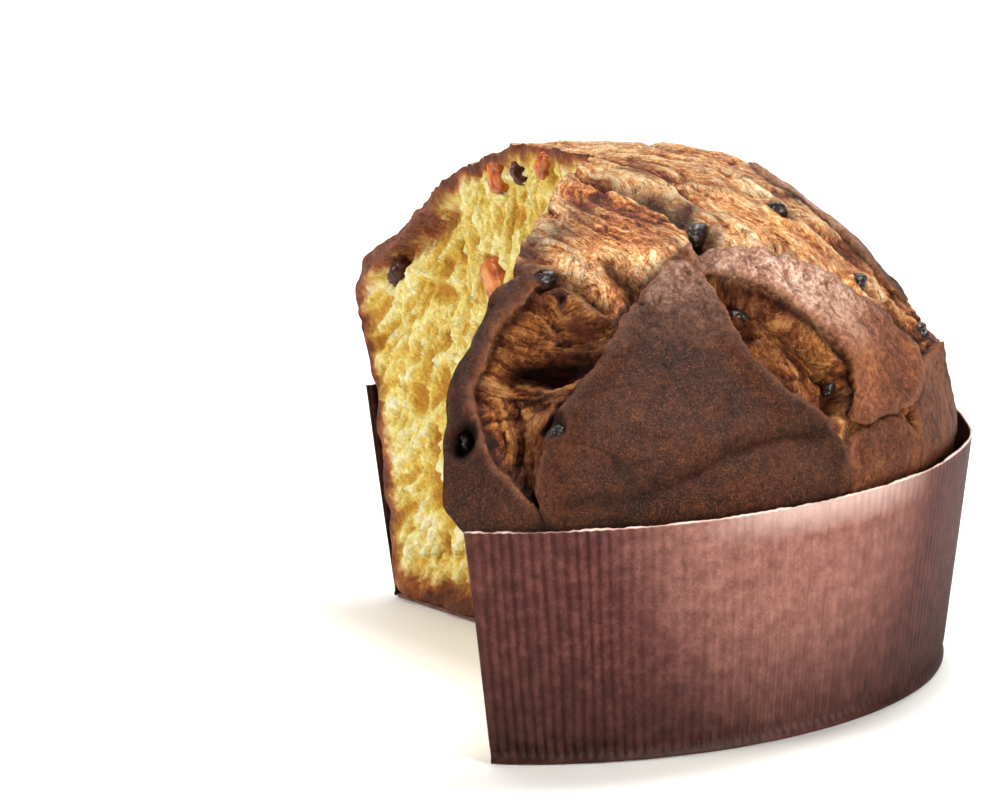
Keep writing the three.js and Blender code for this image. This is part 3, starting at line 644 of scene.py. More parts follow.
def crust_relief(points):
    """How far the crust stands out from the plain dome at places of the flat map, and what it is."""
    px, py = points.T
    torn = np.zeros(points.shape)
    for size, share, seed in RAGGED_EDGE:
        sideways = [noise(px / size, py / size, seed), noise(px / size, py / size, seed + 16)]
        torn += share * np.stack(sideways, 1)
    ragged = points + RAGGED_REACH * torn
    out = WAVE * noise(px / WAVE_LENGTH, py / WAVE_LENGTH, 3)
    out += RIPPLE * noise(px / RIPPLE_LENGTH, py / RIPPLE_LENGTH, 8)
    count = len(points)
    skin, tone, recess_shade, rim = np.zeros(count), np.zeros(count), np.zeros(count), np.zeros(count)
    lateral = np.zeros((count, 2))
    lines = np.zeros(count)
    for lift, lip, overhang, pale, edge in FLAPS.values():
        path = rounded(flat(*np.array(edge).T), True)
        depth, way = depth_inside(ragged, path)
        curl = np.exp(-((depth - LIP_WIDTH / 2) / (LIP_WIDTH / 2)) ** 2)
        over = smoothstep(-FLAP_SLOPE / 2, FLAP_SLOPE / 2, depth)
        out += lift * over + lip * curl
        lateral += way * (overhang * over * np.exp(-np.maximum(depth, 0) / 3.0))[:, None]
        tone = np.where(over > 0.5, pale, tone)
        skin = np.maximum(skin, over)
        pleats = np.sin(2 * math.pi * depth / PLEAT_PITCH + 2.5 * noise(px / 6, py / 6, 91))
        lines += over * pleats * np.exp(-(depth / 7.0) ** 2) * (0.6 + 0.8 * noise(px / 12, py / 12, 93))
        rim = np.maximum(rim, np.exp(-((depth - 0.4) / 0.9) ** 2))
        # Painted shadow just outside each flap's edge, under its lip.
        shade = np.exp(-((depth + 1.3) / 1.7) ** 2) * (depth < 0.3)
        recess_shade = np.maximum(recess_shade, 0.95 * shade)
    basin = np.zeros(count)
    for deep, soft, dark, edge in BASINS.values():
        path = rounded(flat(*np.array(edge).T), True)
        depth, _ = depth_inside(ragged, path)
        fall = smoothstep(-soft / 4, soft, depth)
        out -= deep * fall
        basin = np.maximum(basin, smoothstep(-3.5, 0.5, depth))
        # Painted shade in the hollow, as dark as its darkness.
        recess_shade = np.maximum(recess_shade, dark * smoothstep(-0.5, 3.0, depth))
    for width, deep, on_skin, line in CRACKS.values():
        path = rounded(flat(*np.array(line).T), False)
        distance, _ = distance_to(ragged, path, False)
        dip = np.exp(-(distance / (width / 1.4)) ** 2) * (1 - (1 - on_skin) * skin)
        out -= deep * dip
        # Painted shade in the crack.
        recess_shade = np.maximum(recess_shade, 0.85 * dip * (1 - 0.6 * skin))
    for azimuth, height, across, rise in SWELLINGS:
        out += rise * np.exp(-(np.hypot(*(points - flat(azimuth, height)).T) / across) ** 2)
    basin = np.maximum(basin, smoothstep(96, 112, np.hypot(px, py)))
    scorch, calm = np.zeros(count), np.zeros(count)
    for azimuth, height, across, strength in SCORCHES:
        away = np.hypot(*(ragged - flat(azimuth, height)).T)
        scorch = np.maximum(scorch, strength * np.exp(-(away / across) ** 2))
    for azimuth, height, across in STRETCHED:
        away = np.hypot(*(points - flat(azimuth, height)).T)
        calm = np.maximum(calm, np.exp(-(away / across) ** 4))
    torn_up = np.zeros(count)
    for azimuth, height, across in FLAKED:
        away = np.hypot(*(points - flat(azimuth, height)).T)
        torn_up = np.maximum(torn_up, np.exp(-(away / across) ** 4))
    for centre, size in RAISIN_SPOTS:
        away = np.hypot(*(points - centre).T)
        out -= POCKET_DEPTH * np.exp(-(away / (size + 0.4)) ** 4)
        out += POCKET_RIM * np.exp(-((away - size - 1.6) / 1.5) ** 2)
        # Painted shade in the pocket round each raisin.
        recess_shade = np.maximum(recess_shade, 0.9 * np.exp(-(away / (size + 1.1)) ** 6))
    a, b = strands(points, basin)
    detail = dough_relief(px, py, a, b, basin, torn_up, calm)
    skin_detail = skin_relief(px, py, lines)
    dough = 1 - skin
    out += dough * detail
    out += skin * skin_detail
    # Painted light and shade from the relief: high on its ridges, low in its dips.
    relief_shading = np.clip(0.5 + 0.42 * (dough * detail + skin * 1.6 * skin_detail), 0, 1)
    reach = np.hypot(px, py)
    # Painted highlight: the skin is painted lighter towards the crown on the right, where the light catches
    # it. It is darker down at the rim.
    crown_highlight = 0.6 * smoothstep(94, 77, reach) * smoothstep(4, 22, px)
    tone = np.clip(tone + crown_highlight - 0.3 * smoothstep(94, 116, reach), 0, 1)
    free = smoothstep(RIM_REACH + 6, RIM_REACH - 8, reach)
    out = (out - DOUGH_SINK) * free
    masks = {"skin": skin, "tone": tone, "recess_shade": recess_shade, "basin": basin, "relief_shading": relief_shading, "scorch": scorch,
             "rim": rim}
    return out, lateral * free[:, None], masks, np.stack([a, b], 1)


def dome_profile(reach):
    """Radius and height of the plain dome at distances from the crown, and its slope there."""
    ahead = np.minimum(reach + SLOPE_STEP, RIM_REACH)
    behind = np.maximum(reach - SLOPE_STEP, 0)
    slope_r = np.interp(ahead, outline_reach, outline_radius)
    slope_r = slope_r - np.interp(behind, outline_reach, outline_radius)
    slope_h = np.interp(ahead, outline_reach, outline_height)
    slope_h = slope_h - np.interp(behind, outline_reach, outline_height)
    length = np.hypot(slope_r, slope_h)
    radius = np.interp(reach, outline_reach, outline_radius)
    height = np.interp(reach, outline_reach, outline_height)
    return radius, height, slope_r / length, slope_h / length


def crust_places(points):
    """Places in space of the flat map's points, with their masks."""
    reach = np.hypot(*points.T)
    safe = np.maximum(reach, 1e-6)
    way = points / safe[:, None]
    way[reach < 1e-6] = (0, -1)
    radius, height, down_r, down_h = dome_profile(np.minimum(reach, RIM_REACH))
    out, lateral, masks, fibre = crust_relief(points)
    spread = np.sum(lateral * way, 1)
    sideways = lateral[:, 0] * -way[:, 1] + lateral[:, 1] * way[:, 0]
    r = radius + out * -down_h + spread * down_r
    h = height + out * down_r + spread * down_h
    x = r * way[:, 0] - sideways * way[:, 1]
    y = r * way[:, 1] + sideways * way[:, 0]
    return np.stack([x, y, h], 1), masks, fibre


def ring_points(rings, limit):
    """Points of the flat map in rings, six more in each, from the crown to a limit."""
    groups = [np.zeros((1, 2))]
    for ring in range(1, rings + 1):
        angle = np.arange(6 * ring) / (6 * ring) * 2 * math.pi
        reach = limit * ring / rings
        groups.append(np.stack([reach * np.sin(angle), -reach * np.cos(angle)], 1))
    return groups


def stitch(inner_first, inner_count, outer_first, outer_count):
    """Triangles between two rings of points that may differ in count."""
    faces = []
    i = j = 0
    while i < inner_count or j < outer_count:
        inner_next = math.inf if inner_count == 1 else (i + 1) / inner_count
        outer_next = (j + 1) / outer_count
        a = inner_first + i % inner_count
        b = outer_first + j % outer_count
        if j < outer_count and outer_next <= inner_next + 1e-9:
            faces.append((a, b, outer_first + (j + 1) % outer_count))
            j += 1
        elif inner_count > 1 and i < inner_count:
            faces.append((a, b, inner_first + (i + 1) % inner_count))
            i += 1
        else:
            break
    return faces


def side_ring(count, radius, height):
    """A level ring of points about the axis."""
    angle = np.arange(count) / count * 2 * math.pi
    return np.stack([radius * np.sin(angle), -radius * np.cos(angle), np.full(count, height)], 1)


def side_radius(height):
    """Radius of the loaf inside the paper, a little smaller towards the foot."""
    share = (height - LOAF_BOTTOM) / (CASE_HEIGHT - LOAF_BOTTOM)
    return LOAF_FOOT_RADIUS + (DOME_RADIUS - LOAF_FOOT_RADIUS) * share


def build_crust():
    """The crust as a closed shell: dressed dome, skirt inside the paper, and a plain inner face."""
    groups = ring_points(RINGS, RIM_REACH)
    outer, masks, fibre = crust_places(np.concatenate(groups))
    counts = [len(g) for g in groups]
    points = [outer]
    faces = []
    firsts = np.concatenate([[0], np.cumsum(counts)])
    for ring in range(RINGS):
        faces += stitch(firsts[ring], counts[ring], firsts[ring + 1], counts[ring + 1])
    rim_count = counts[-1]
    total = firsts[-1]
    last = (firsts[-2], rim_count)
    for height in np.linspace(CASE_HEIGHT - 1.5, CASE_HEIGHT - CRUST_SKIRT, SKIRT_ROWS):
        points.append(side_ring(rim_count, side_radius(height), height))
        faces += stitch(last[0], last[1], total, rim_count)
        last = (total, rim_count)
        total += rim_count
    inner_groups = ring_points(INNER_RINGS, RIM_REACH)
    inner = inner_dome(np.concatenate(inner_groups))
    inner_counts = [len(g) for g in inner_groups]
    inner_rim = inner_counts[-1]
    inner_firsts = total + inner_rim + np.concatenate([[0], np.cumsum(inner_counts)])
    skirt = CASE_HEIGHT - CRUST_SKIRT
    points.append(side_ring(inner_rim, side_radius(skirt) - CRUST_THICKNESS, skirt))
    faces += stitch(last[0], last[1], total, inner_rim)
    points.append(inner)
    flipped = stitch(inner_firsts[-2], inner_rim, total, inner_rim)
    faces += [(a, c, b) for a, b, c in flipped]
    for ring in range(INNER_RINGS):
        flipped = stitch(inner_firsts[ring], inner_counts[ring], inner_firsts[ring + 1],
                         inner_counts[ring + 1])
        faces += [(a, c, b) for a, b, c in flipped]
    return mesh_object("loaf_crust", np.concatenate(points), faces), outer, masks, fibre


def inner_dome(points):
    """The crumb's own rounded top, one crust thickness under the lowest dough."""
    reach = np.hypot(*points.T)
    way = points / np.maximum(reach, 1e-6)[:, None]
    rough, _, _, _ = crust_relief(points)
    depth = CRUST_THICKNESS - np.minimum(rough, 20)
    radius, height, down_r, down_h = dome_profile(reach)
    r = np.maximum(radius + depth * down_h, 0.0)
    h = height - depth * down_r
    return np.stack([r * way[:, 0], r * way[:, 1], h], 1)


def build_body():
    """The crumb under the crust: rounded top, sides down to the card, and a flat foot."""
    groups = ring_points(INNER_RINGS, RIM_REACH)
    counts = [len(g) for g in groups]
    top = inner_dome(np.concatenate(groups))
    firsts = np.concatenate([[0], np.cumsum(counts)])
    points = [top]
    faces = []
    for ring in range(INNER_RINGS):
        faces += stitch(firsts[ring], counts[ring], firsts[ring + 1], counts[ring + 1])
    count = counts[-1]
    last = (firsts[-2], count)
    total = firsts[-1]
    skirt = CASE_HEIGHT - CRUST_SKIRT
    levels = [(side_radius(skirt) - CRUST_THICKNESS, skirt), (side_radius(skirt), skirt - 0.05)]
    levels += [(side_radius(h), h) for h in (36, 24, 14, 6.5)]
    levels += [(side_radius(3.5) - 1.2, 3.0), (side_radius(LOAF_BOTTOM) - 4, LOAF_BOTTOM)]
    for radius, height in levels:
        points.append(side_ring(count, radius, height))
        faces += stitch(last[0], last[1], total, count)
        last = (total, count)
        total += count
    points.append(np.array([[0, 0, LOAF_BOTTOM]]))
    for i in range(count):
        faces.append((last[0] + i, total, last[0] + (i + 1) % count))
    return mesh_object("loaf_crumb", np.concatenate(points), faces)


# Loaf: the torn cut faces.
# The slice was pulled away, so the yellow crumb shows torn strands and stretched bubbles. They
# lean towards the crown, the way the dough rose.
CUT_REACH = 145.2
CUT_TOP = 175.0
CUT_STEP = 0.66
CUT_FLOOR = -8.0
OUTSIDE = 300.0
CRUMB_RELIEF = 1.1
CURL_OUT = 7.7
CURL_HEIGHT = 84.0
CURL_REACH = 26.0
NEAR_SEED = 21
FAR_SEED = 57
SHOULDER = {"along": 98, "height": 106, "tall": 18}
DEEPEST = 4.2
RIND = 9.0
SHOULDER_RIND = 11
FACE_REACH = 0.6

# Bubbles in three sizes: size of the cell, stretch, how many there are, depth, seed.
BUBBLES = [(12.0, 1.3, 0.4, 3.6, 100), (6.5, 1.5, 0.45, 2.4, 200), (3.4, 1.4, 0.55, 1.4, 300)]

# Thin-walled cells: depth, size, stretch, seed.
CELLS = [(1.5, 5.2, 1.5, 11), (1.0, 2.7, 1.5, 12), (0.75, 1.7, 1.6, 13)]

# Where each cut meets the crust: near side or far side, azimuth.
CUT_EDGES = [(True, -22.2), (False, 214.4)]

# Large hollows: distance out from the corner, height, width, height of the hollow, depth.
FAR_HOLLOWS = [(40, 120, 9, 8, 6), (71, 106, 9, 9, 7), (80, 94, 12, 8, 7), (97, 61, 10, 12, 7),
               (89, 50, 7, 12, 7), (63, 84, 9, 7, 5), (89, 36, 10, 14, 7), (86, 20, 7, 9, 6)]
NEAR_HOLLOWS = [(20, 92, 8, 12, 7), (50, 112, 9, 8, 6), (72, 60, 7, 13, 7), (34, 44, 7, 11, 6),
                (88, 26, 8, 10, 6), (60, 76, 6, 9, 5)]


def bubbles(along, height, cell, stretch, seed, fill):
    """Depth of random bubbles in a jittered grid of cells, 0 at their rims, leaning to the crown."""
    lean = -np.clip(along / 160, 0, 0.7)
    a = (along - height * lean) / cell
    b = height / (cell * stretch)
    best = np.full(along.shape, 9.0)
    size = np.zeros(along.shape)
    cell_a, cell_b = np.floor(a), np.floor(b)
    for da in (-1, 0, 1):
        for db in (-1, 0, 1):
            ca, cb = cell_a + da, cell_b + db
            keep = lattice(ca, cb, seed) < fill * 2 - 1
            px = ca + 0.5 + 0.38 * lattice(ca, cb, seed + 1)
            py = cb + 0.5 + 0.38 * lattice(ca, cb, seed + 2)
            big = 0.3 + 0.22 * (lattice(ca, cb, seed + 3) * 0.5 + 0.5)
            distance = np.hypot(a - px, b - py) / big
            distance = np.where(keep, distance, 9.0)
            closer = distance < best
            best = np.where(closer, distance, best)
            size = np.where(closer, big, size)
    return np.maximum(1 - best ** 2, 0) ** 0.6 * size * 2


def web(along, height, cell, stretch, seed):
    """Thin walls between small cells: 1 on a wall, 0 in the middle of a cell."""
    return np.clip(1 - np.abs(noise(along / cell, height / (cell * stretch), seed)) * 2.6, 0, 1)


def dome_depth(x, y, height):
    """Distance in millimetres inside the plain outline of the dome and the sides."""
    radius = np.hypot(x, y)
    best = np.full(radius.shape, 1e9)
    for r, h in np.stack([outline_radius, outline_height], 1)[::8]:
        best = np.minimum(best, np.hypot(radius - r, height - h))
    inside = radius < np.interp(-height, -outline_height, outline_radius)
    best = np.where(inside, best, -best)
    return np.where(height < CASE_HEIGHT, side_radius(height) - radius, best)


def cut_relief(near, along, height, rind):
    """How far the crumb stands into the gap, and how deep in a bubble each place lies."""
    seed = NEAR_SEED if near else FAR_SEED
    edge = smoothstep(0, 14, along)
    humps = noise(along / 9, height / 12, seed) + 0.7 * noise(along / 4, height / 5, seed)
    out = CRUMB_RELIEF * edge * humps
    if near:
        curl = np.exp(-((height - CURL_HEIGHT) / CURL_REACH) ** 4)
        out = out + CURL_OUT * curl * smoothstep(45, 75, along) * smoothstep(58, 68, height)
    lean = along + height * np.clip(along / 200, 0, 0.55)
    a = lean + 1.8 * noise(along / 8, height / 8, seed + 5)
    a = a + 0.8 * noise(along / 2.6, height / 2.6, seed + 6)
    b = height + 2.4 * noise(along / 8, height / 8, seed + 7)
    b = b + 1.0 * noise(along / 2.6, height / 2.6, seed + 8)
    deep = np.zeros(along.shape)
    for cell, stretch, fill, depth, at in BUBBLES:
        part = depth * bubbles(a, b, cell, stretch, seed + at, fill)
        deep = np.maximum(deep, part) + 0.25 * np.minimum(deep, part)
    for place, tall, wide, high, depth in (NEAR_HOLLOWS if near else FAR_HOLLOWS):
        inside = 1 - ((along - place) / (wide / 2)) ** 2 - ((height - tall) / (high / 2)) ** 2
        deep = np.maximum(deep, depth / 2 * np.sqrt(np.maximum(inside, 0)) * 1.15)
    cells = sum(depth * (1 - web(a, b, cell, stretch, seed + at)) for depth, cell, stretch, at in CELLS)
    strand = 0.3 * noise(a / 1.1, b / 5.0, seed + 14) + 0.25 * noise(along / 0.9, height / 1.4, seed + 15)
    hollow = deep + 0.75 * cells * (0.6 + 0.4 * smoothstep(2.5, 0.5, deep))
    soft = smoothstep(0, 6, along) * smoothstep(1.5, 8.0, rind) * smoothstep(2, 8, height)
    ragged = 0.35 * noise(along / 1.4, height / 1.4, seed + 16)
    ragged = ragged * smoothstep(2, 8, along) * smoothstep(0.5, 3.0, rind)
    if not near:
        shoulder = np.exp(-((along - SHOULDER["along"]) / 26) ** 4
                          - ((height - SHOULDER["height"]) / SHOULDER["tall"]) ** 4)
        folded = 2.4 * np.exp(-((rind - 3.4) / 2.2) ** 2) - 3.2 * np.exp(-((rind - 10) / 3.6) ** 2)
        out = out * (1 - 0.7 * shoulder * smoothstep(8, 4, rind)) + folded * shoulder
        soft = soft * (1 - shoulder * smoothstep(8, 4, rind))
    return out + ragged + (strand + 0.9 - hollow) * soft, np.clip(hollow - strand, 0, None)


def build_slice():
    """The slice that was taken out, as a closed cutter whose two faces carry the crumb's relief."""
    columns = int(round(CUT_REACH / CUT_STEP))
    rows = int(round((CUT_TOP - CUT_FLOOR) / CUT_STEP))
    across = 2 * columns + 2
    index = np.arange(across - 1)
    along_row = np.abs(columns - index) * CUT_STEP
    near_row = index < columns
    heights = np.linspace(CUT_FLOOR, CUT_TOP, rows + 1)
    along, height = np.meshgrid(along_row, heights)
    near = np.broadcast_to(near_row, along.shape)
    dx = np.where(near, NEAR_DIRECTION[0], FAR_DIRECTION[0])
    dy = np.where(near, NEAR_DIRECTION[1], FAR_DIRECTION[1])
    rind = dome_depth(CORNER[0] + dx * along, CORNER[1] + dy * along, height)
    for face_is_near, edge_azimuth in CUT_EDGES:
        stands_out = crust_relief(flat(np.full(len(heights), edge_azimuth), heights))[0]
        rind = rind + np.where(near == face_is_near, stands_out[:, None], 0.0)
    rind = np.maximum(rind, 0.0)
    # Both faces fade to the same line at the corner.
    near_out, near_deep = cut_relief(True, along, height, rind)
    far_out, far_deep = cut_relief(False, along, height, rind)
    shift = np.where(near, near_out, far_out)
    deep = np.where(near, near_deep, far_deep)
    nx = np.where(near, NEAR_DIRECTION[1], -FAR_DIRECTION[1])
    ny = np.where(near, -NEAR_DIRECTION[0], FAR_DIRECTION[0])
    x = CORNER[0] + dx * along + nx * shift
    y = CORNER[1] + dy * along + ny * shift
    x = np.concatenate([x, np.full((rows + 1, 1), -OUTSIDE)], 1)
    y = np.concatenate([y, np.zeros((rows + 1, 1))], 1)
    z = np.concatenate([height, heights[:, None]], 1)
    points = np.stack([x, y, z], -1).reshape(-1, 3)
    lower = (np.arange(rows)[:, None] * across + np.arange(across)[None, :]).ravel()
    nxt = (np.arange(rows)[:, None] * across + (np.arange(across)[None, :] + 1) % across).ravel()
    quads = np.stack([lower, nxt, nxt + across, lower + across], 1).tolist()
    hub = CORNER + (NEAR_DIRECTION + FAR_DIRECTION) * CUT_REACH * 0.45
    points = np.concatenate([points, [[*hub, CUT_FLOOR], [*hub, CUT_TOP]]])
    bottom, top = len(points) - 2, len(points) - 1
    first = rows * across
    for i in range(across):
        quads.append((bottom, (i + 1) % across, i))
        quads.append((top, first + i, first + (i + 1) % across))
    cutter = mesh_object("slice_cutter", points, quads)
    return cutter, points[:-2], np.concatenate([deep, np.zeros((rows + 1, 1))], 1).ravel()


def bread_crust_material():
    """Baked enriched dough: matt cocoa-brown grainy skin beside golden, silky, torn strands."""
    material, tree, shader = new_material("baked_crust")
    place = add_node(tree, "ShaderNodeTexCoord").outputs["Object"]
    mask = {key: add_node(tree, "ShaderNodeAttribute", {"attribute_name": key}).outputs["Fac"]
            for key in ("skin", "tone", "recess_shade", "basin", "relief_shading", "scorch", "rim")}
    fibre = add_node(tree, "ShaderNodeAttribute", {"attribute_name": "fibre"}).outputs["Vector"]
    # Skin: flour and sugar freckles about half a millimetre across, on a hide of folds of 3 mm.
    freckle = add_node(tree, "ShaderNodeTexNoise", {"Scale": 1900.0, "Detail": 3.0, "Roughness": 0.7},
                       {"Vector": place}).outputs["Fac"]
    grain = add_node(tree, "ShaderNodeTexNoise", {"Scale": 800.0, "Detail": 5.0, "Roughness": 0.75},
                     {"Vector": place}).outputs["Fac"]
    patch = add_node(tree, "ShaderNodeTexNoise", {"Scale": 45.0, "Detail": 5.0, "Roughness": 0.6},
                     {"Vector": place}).outputs["Fac"]
    hide = add_node(tree, "ShaderNodeTexNoise",
                    {"Scale": 330.0, "Detail": 6.0, "Roughness": 0.75, "Distortion": 0.6},
                    {"Vector": place}).outputs["Fac"]
    shade = weigh(tree, "ADD", weigh(tree, "MULTIPLY", patch, 0.45), weigh(tree, "MULTIPLY", hide, 0.55))
    shade = weigh(tree, "ADD", shade, weigh(tree, "MULTIPLY", weigh(tree, "SUBTRACT", grain, 0.5), 0.6))
    dark = ramp(tree, shade, [(0.38, "#180904"), (0.5, "#2f140a"), (0.62, "#472313")])
    # It browned most at the left and centre. Near the crown the skin is painted a pale pink, a painted
    # highlight where the light catches the top.
    upright = add_node(tree, "ShaderNodeSeparateXYZ", (), {0: place}).outputs["Z"]
    high = add_node(tree, "ShaderNodeMapRange", {1: 0.092, 2: 0.112, 3: 0.0, 4: 1.0},
                    {0: upright}).outputs[0]
    ruddy = ramp(tree, shade, [(0.38, "#502314"), (0.5, "#824528"), (0.62, "#ae7045")])
    highlit_skin = ramp(tree, shade, [(0.38, "#62382b"), (0.5, "#a07562"), (0.62, "#d8bba8")])
    pale = blend(tree, high, ruddy, highlit_skin)
    skin_colour = blend(tree, mask["tone"], dark, pale)
    speck = add_node(tree, "ShaderNodeMapRange", {1: 0.5, 2: 0.66, 3: 0.0, 4: 0.45},
                     {0: freckle}).outputs[0]
    skin_colour = blend(tree, speck, skin_colour, "#7a4a26")
    skin_colour = blend(tree, weigh(tree, "MULTIPLY", mask["rim"], 0.5), skin_colour, "#8a543a")
    # Painted shade darkens the skin in the pits of its relief; its scuffed edges are red-brown.
    pit = add_node(tree, "ShaderNodeMapRange", {1: 0.15, 2: 0.5, 3: 0.8, 4: 0.0},
                   {0: mask["relief_shading"]}).outputs[0]
    skin_colour = blend(tree, pit, skin_colour, "#1c0c07")
    # Dough: strands a few tenths of a millimetre wide, drawn along the way that they were pulled.
    stretch = add_node(tree, "ShaderNodeMapping", {"Scale": (1350.0, 220.0, 1.0)},
                       {"Vector": fibre}).outputs[0]
    strand = add_node(tree, "ShaderNodeTexNoise",
                      {"Scale": 1.0, "Detail": 5.0, "Roughness": 0.8, "Distortion": 0.3},
                      {"Vector": stretch}).outputs["Fac"]
    threads = add_node(tree, "ShaderNodeTexNoise",
                       {"Scale": 700.0, "Detail": 5.0, "Roughness": 0.75, "Distortion": 0.6},
                       {"Vector": place}).outputs["Fac"]
    cloud = add_node(tree, "ShaderNodeTexNoise",
                     {"Scale": 120.0, "Detail": 6.0, "Roughness": 0.75, "Distortion": 0.8},
                     {"Vector": place}).outputs["Fac"]
    # Thin sheets lie over one another like scales, their torn edges ragged.
    wide = add_node(tree, "ShaderNodeMapping", {"Scale": (330.0, 60.0, 1.0)}, {"Vector": fibre}).outputs[0]
    drift = add_node(tree, "ShaderNodeTexNoise",
                     {"Scale": 1.0, "Detail": 5.0, "Roughness": 0.7, "Distortion": 0.5},
                     {"Vector": wide}).outputs["Fac"]
    sheet = weigh(tree, "FRACT", weigh(tree, "ADD", weigh(tree, "MULTIPLY", drift, 7.0),
                                       weigh(tree, "MULTIPLY", threads, 0.8)))
    strand = weigh(tree, "ADD", weigh(tree, "MULTIPLY", strand, 0.58),
                   weigh(tree, "MULTIPLY", threads, 0.42))
    strong = weigh(tree, "MULTIPLY", weigh(tree, "SUBTRACT", strand, 0.5), 1.9)
    # The strands' own tone, with painted shade in the dips of the relief and painted highlight on its
    # ridges.
    lit = weigh(tree, "ADD", weigh(tree, "MULTIPLY", mask["relief_shading"], 0.5), weigh(tree, "ADD", strong, 0.25))
    lit = weigh(tree, "ADD", lit, weigh(tree, "MULTIPLY", cloud, 0.4))
    # Thin crevices along the strands, dug a little into the bump and painted dark: painted shade in the
    # cracks.
    shaded_crevice = add_node(tree, "ShaderNodeTexNoise",
                    {"Scale": 1.0, "Detail": 5.0, "Roughness": 0.7, "Distortion": 0.3},
                    {"Vector": wide}).outputs["Color"]
    shaded_crevice = add_node(tree, "ShaderNodeSeparateColor", (), {0: shaded_crevice}).outputs[1]
    shaded_crevice = weigh(tree, "ABSOLUTE", weigh(tree, "SUBTRACT", shaded_crevice, 0.5))
    shaded_crevice = add_node(tree, "ShaderNodeMapRange", {1: 0.0, 2: 0.02, 3: 1.0, 4: 0.0}, {0: shaded_crevice}).outputs[0]
    clouded = add_node(tree, "ShaderNodeMapRange", {1: 0.42, 2: 0.56, 3: 0.0, 4: 0.85},
                       {0: cloud}).outputs[0]
    shaded_crevice = weigh(tree, "MULTIPLY", shaded_crevice, clouded)
    # The strands are golden where they opened late, brown in the hollows, and black-red where scorched.
    golden = ramp(tree, lit, [(0.44, "#35120a"), (0.55, "#823c1b"), (0.66, "#bf7640"), (0.77, "#e2a969"),
                              (0.92, "#f8dfb2")])
    brown = ramp(tree, lit, [(0.46, "#1c0a06"), (0.58, "#4a2210"), (0.7, "#7c421f"), (0.82, "#aa6a34"),
                             (0.96, "#d39a5a")])
    dough_colour = blend(tree, mask["basin"], golden, brown)
    torn_edge = add_node(tree, "ShaderNodeMapRange", {1: 0.72, 2: 1.0, 3: 0.0, 4: 0.3},
                         {0: sheet}).outputs[0]
    dough_colour = blend(tree, torn_edge, dough_colour, "#5c2614")
    stain = add_node(tree, "ShaderNodeMapRange", {1: 0.5, 2: 0.6, 3: 0.0, 4: 0.65}, {0: cloud}).outputs[0]
    dough_colour = blend(tree, stain, dough_colour, "#8a4a2c")
    patchy = add_node(tree, "ShaderNodeMapRange", {1: 0.35, 2: 0.52, 3: 0.55, 4: 1.0},
                      {0: cloud}).outputs[0]
    dough_colour = blend(tree, weigh(tree, "MULTIPLY", mask["scorch"], patchy), dough_colour, "#451c16")
    # Painted shade in the crevices.
    dough_colour = blend(tree, shaded_crevice, dough_colour, "#3c150a")
    colour = blend(tree, mask["skin"], dough_colour, skin_colour)
    # Painted shade in hollows, cracks, raisin pockets and under the flaps' lips.
    colour = blend(tree, mask["recess_shade"], colour, "#5a3529", "MULTIPLY")
    tree.links.new(colour, shader.inputs["Base Color"])
    dough_bump = weigh(tree, "ADD", strand, weigh(tree, "MULTIPLY", sheet, 0.12))
    dough_bump = weigh(tree, "SUBTRACT", dough_bump, weigh(tree, "MULTIPLY", shaded_crevice, 0.12))
    skin_bump = weigh(tree, "ADD", weigh(tree, "MULTIPLY", grain, 0.45), weigh(tree, "MULTIPLY", hide, 0.5))
    relief = add_node(tree, "ShaderNodeMix", {"data_type": "FLOAT"},
                      {0: mask["skin"], 2: dough_bump, 3: skin_bump}).outputs[0]
    bump = add_node(tree, "ShaderNodeBump", {"Strength": 1.0, "Distance": 2.2 * MM}, {"Height": relief})
    tree.links.new(bump.outputs[0], shader.inputs["Normal"])
    gloss = add_node(tree, "ShaderNodeMapRange", {3: 0.42, 4: 0.55}, {0: mask["skin"]})
    tree.links.new(gloss.outputs[0], shader.inputs["Roughness"])
    shader.inputs["IOR"].default_value = 1.42
    shader.inputs["Specular IOR Level"].default_value = 0.22
    return material


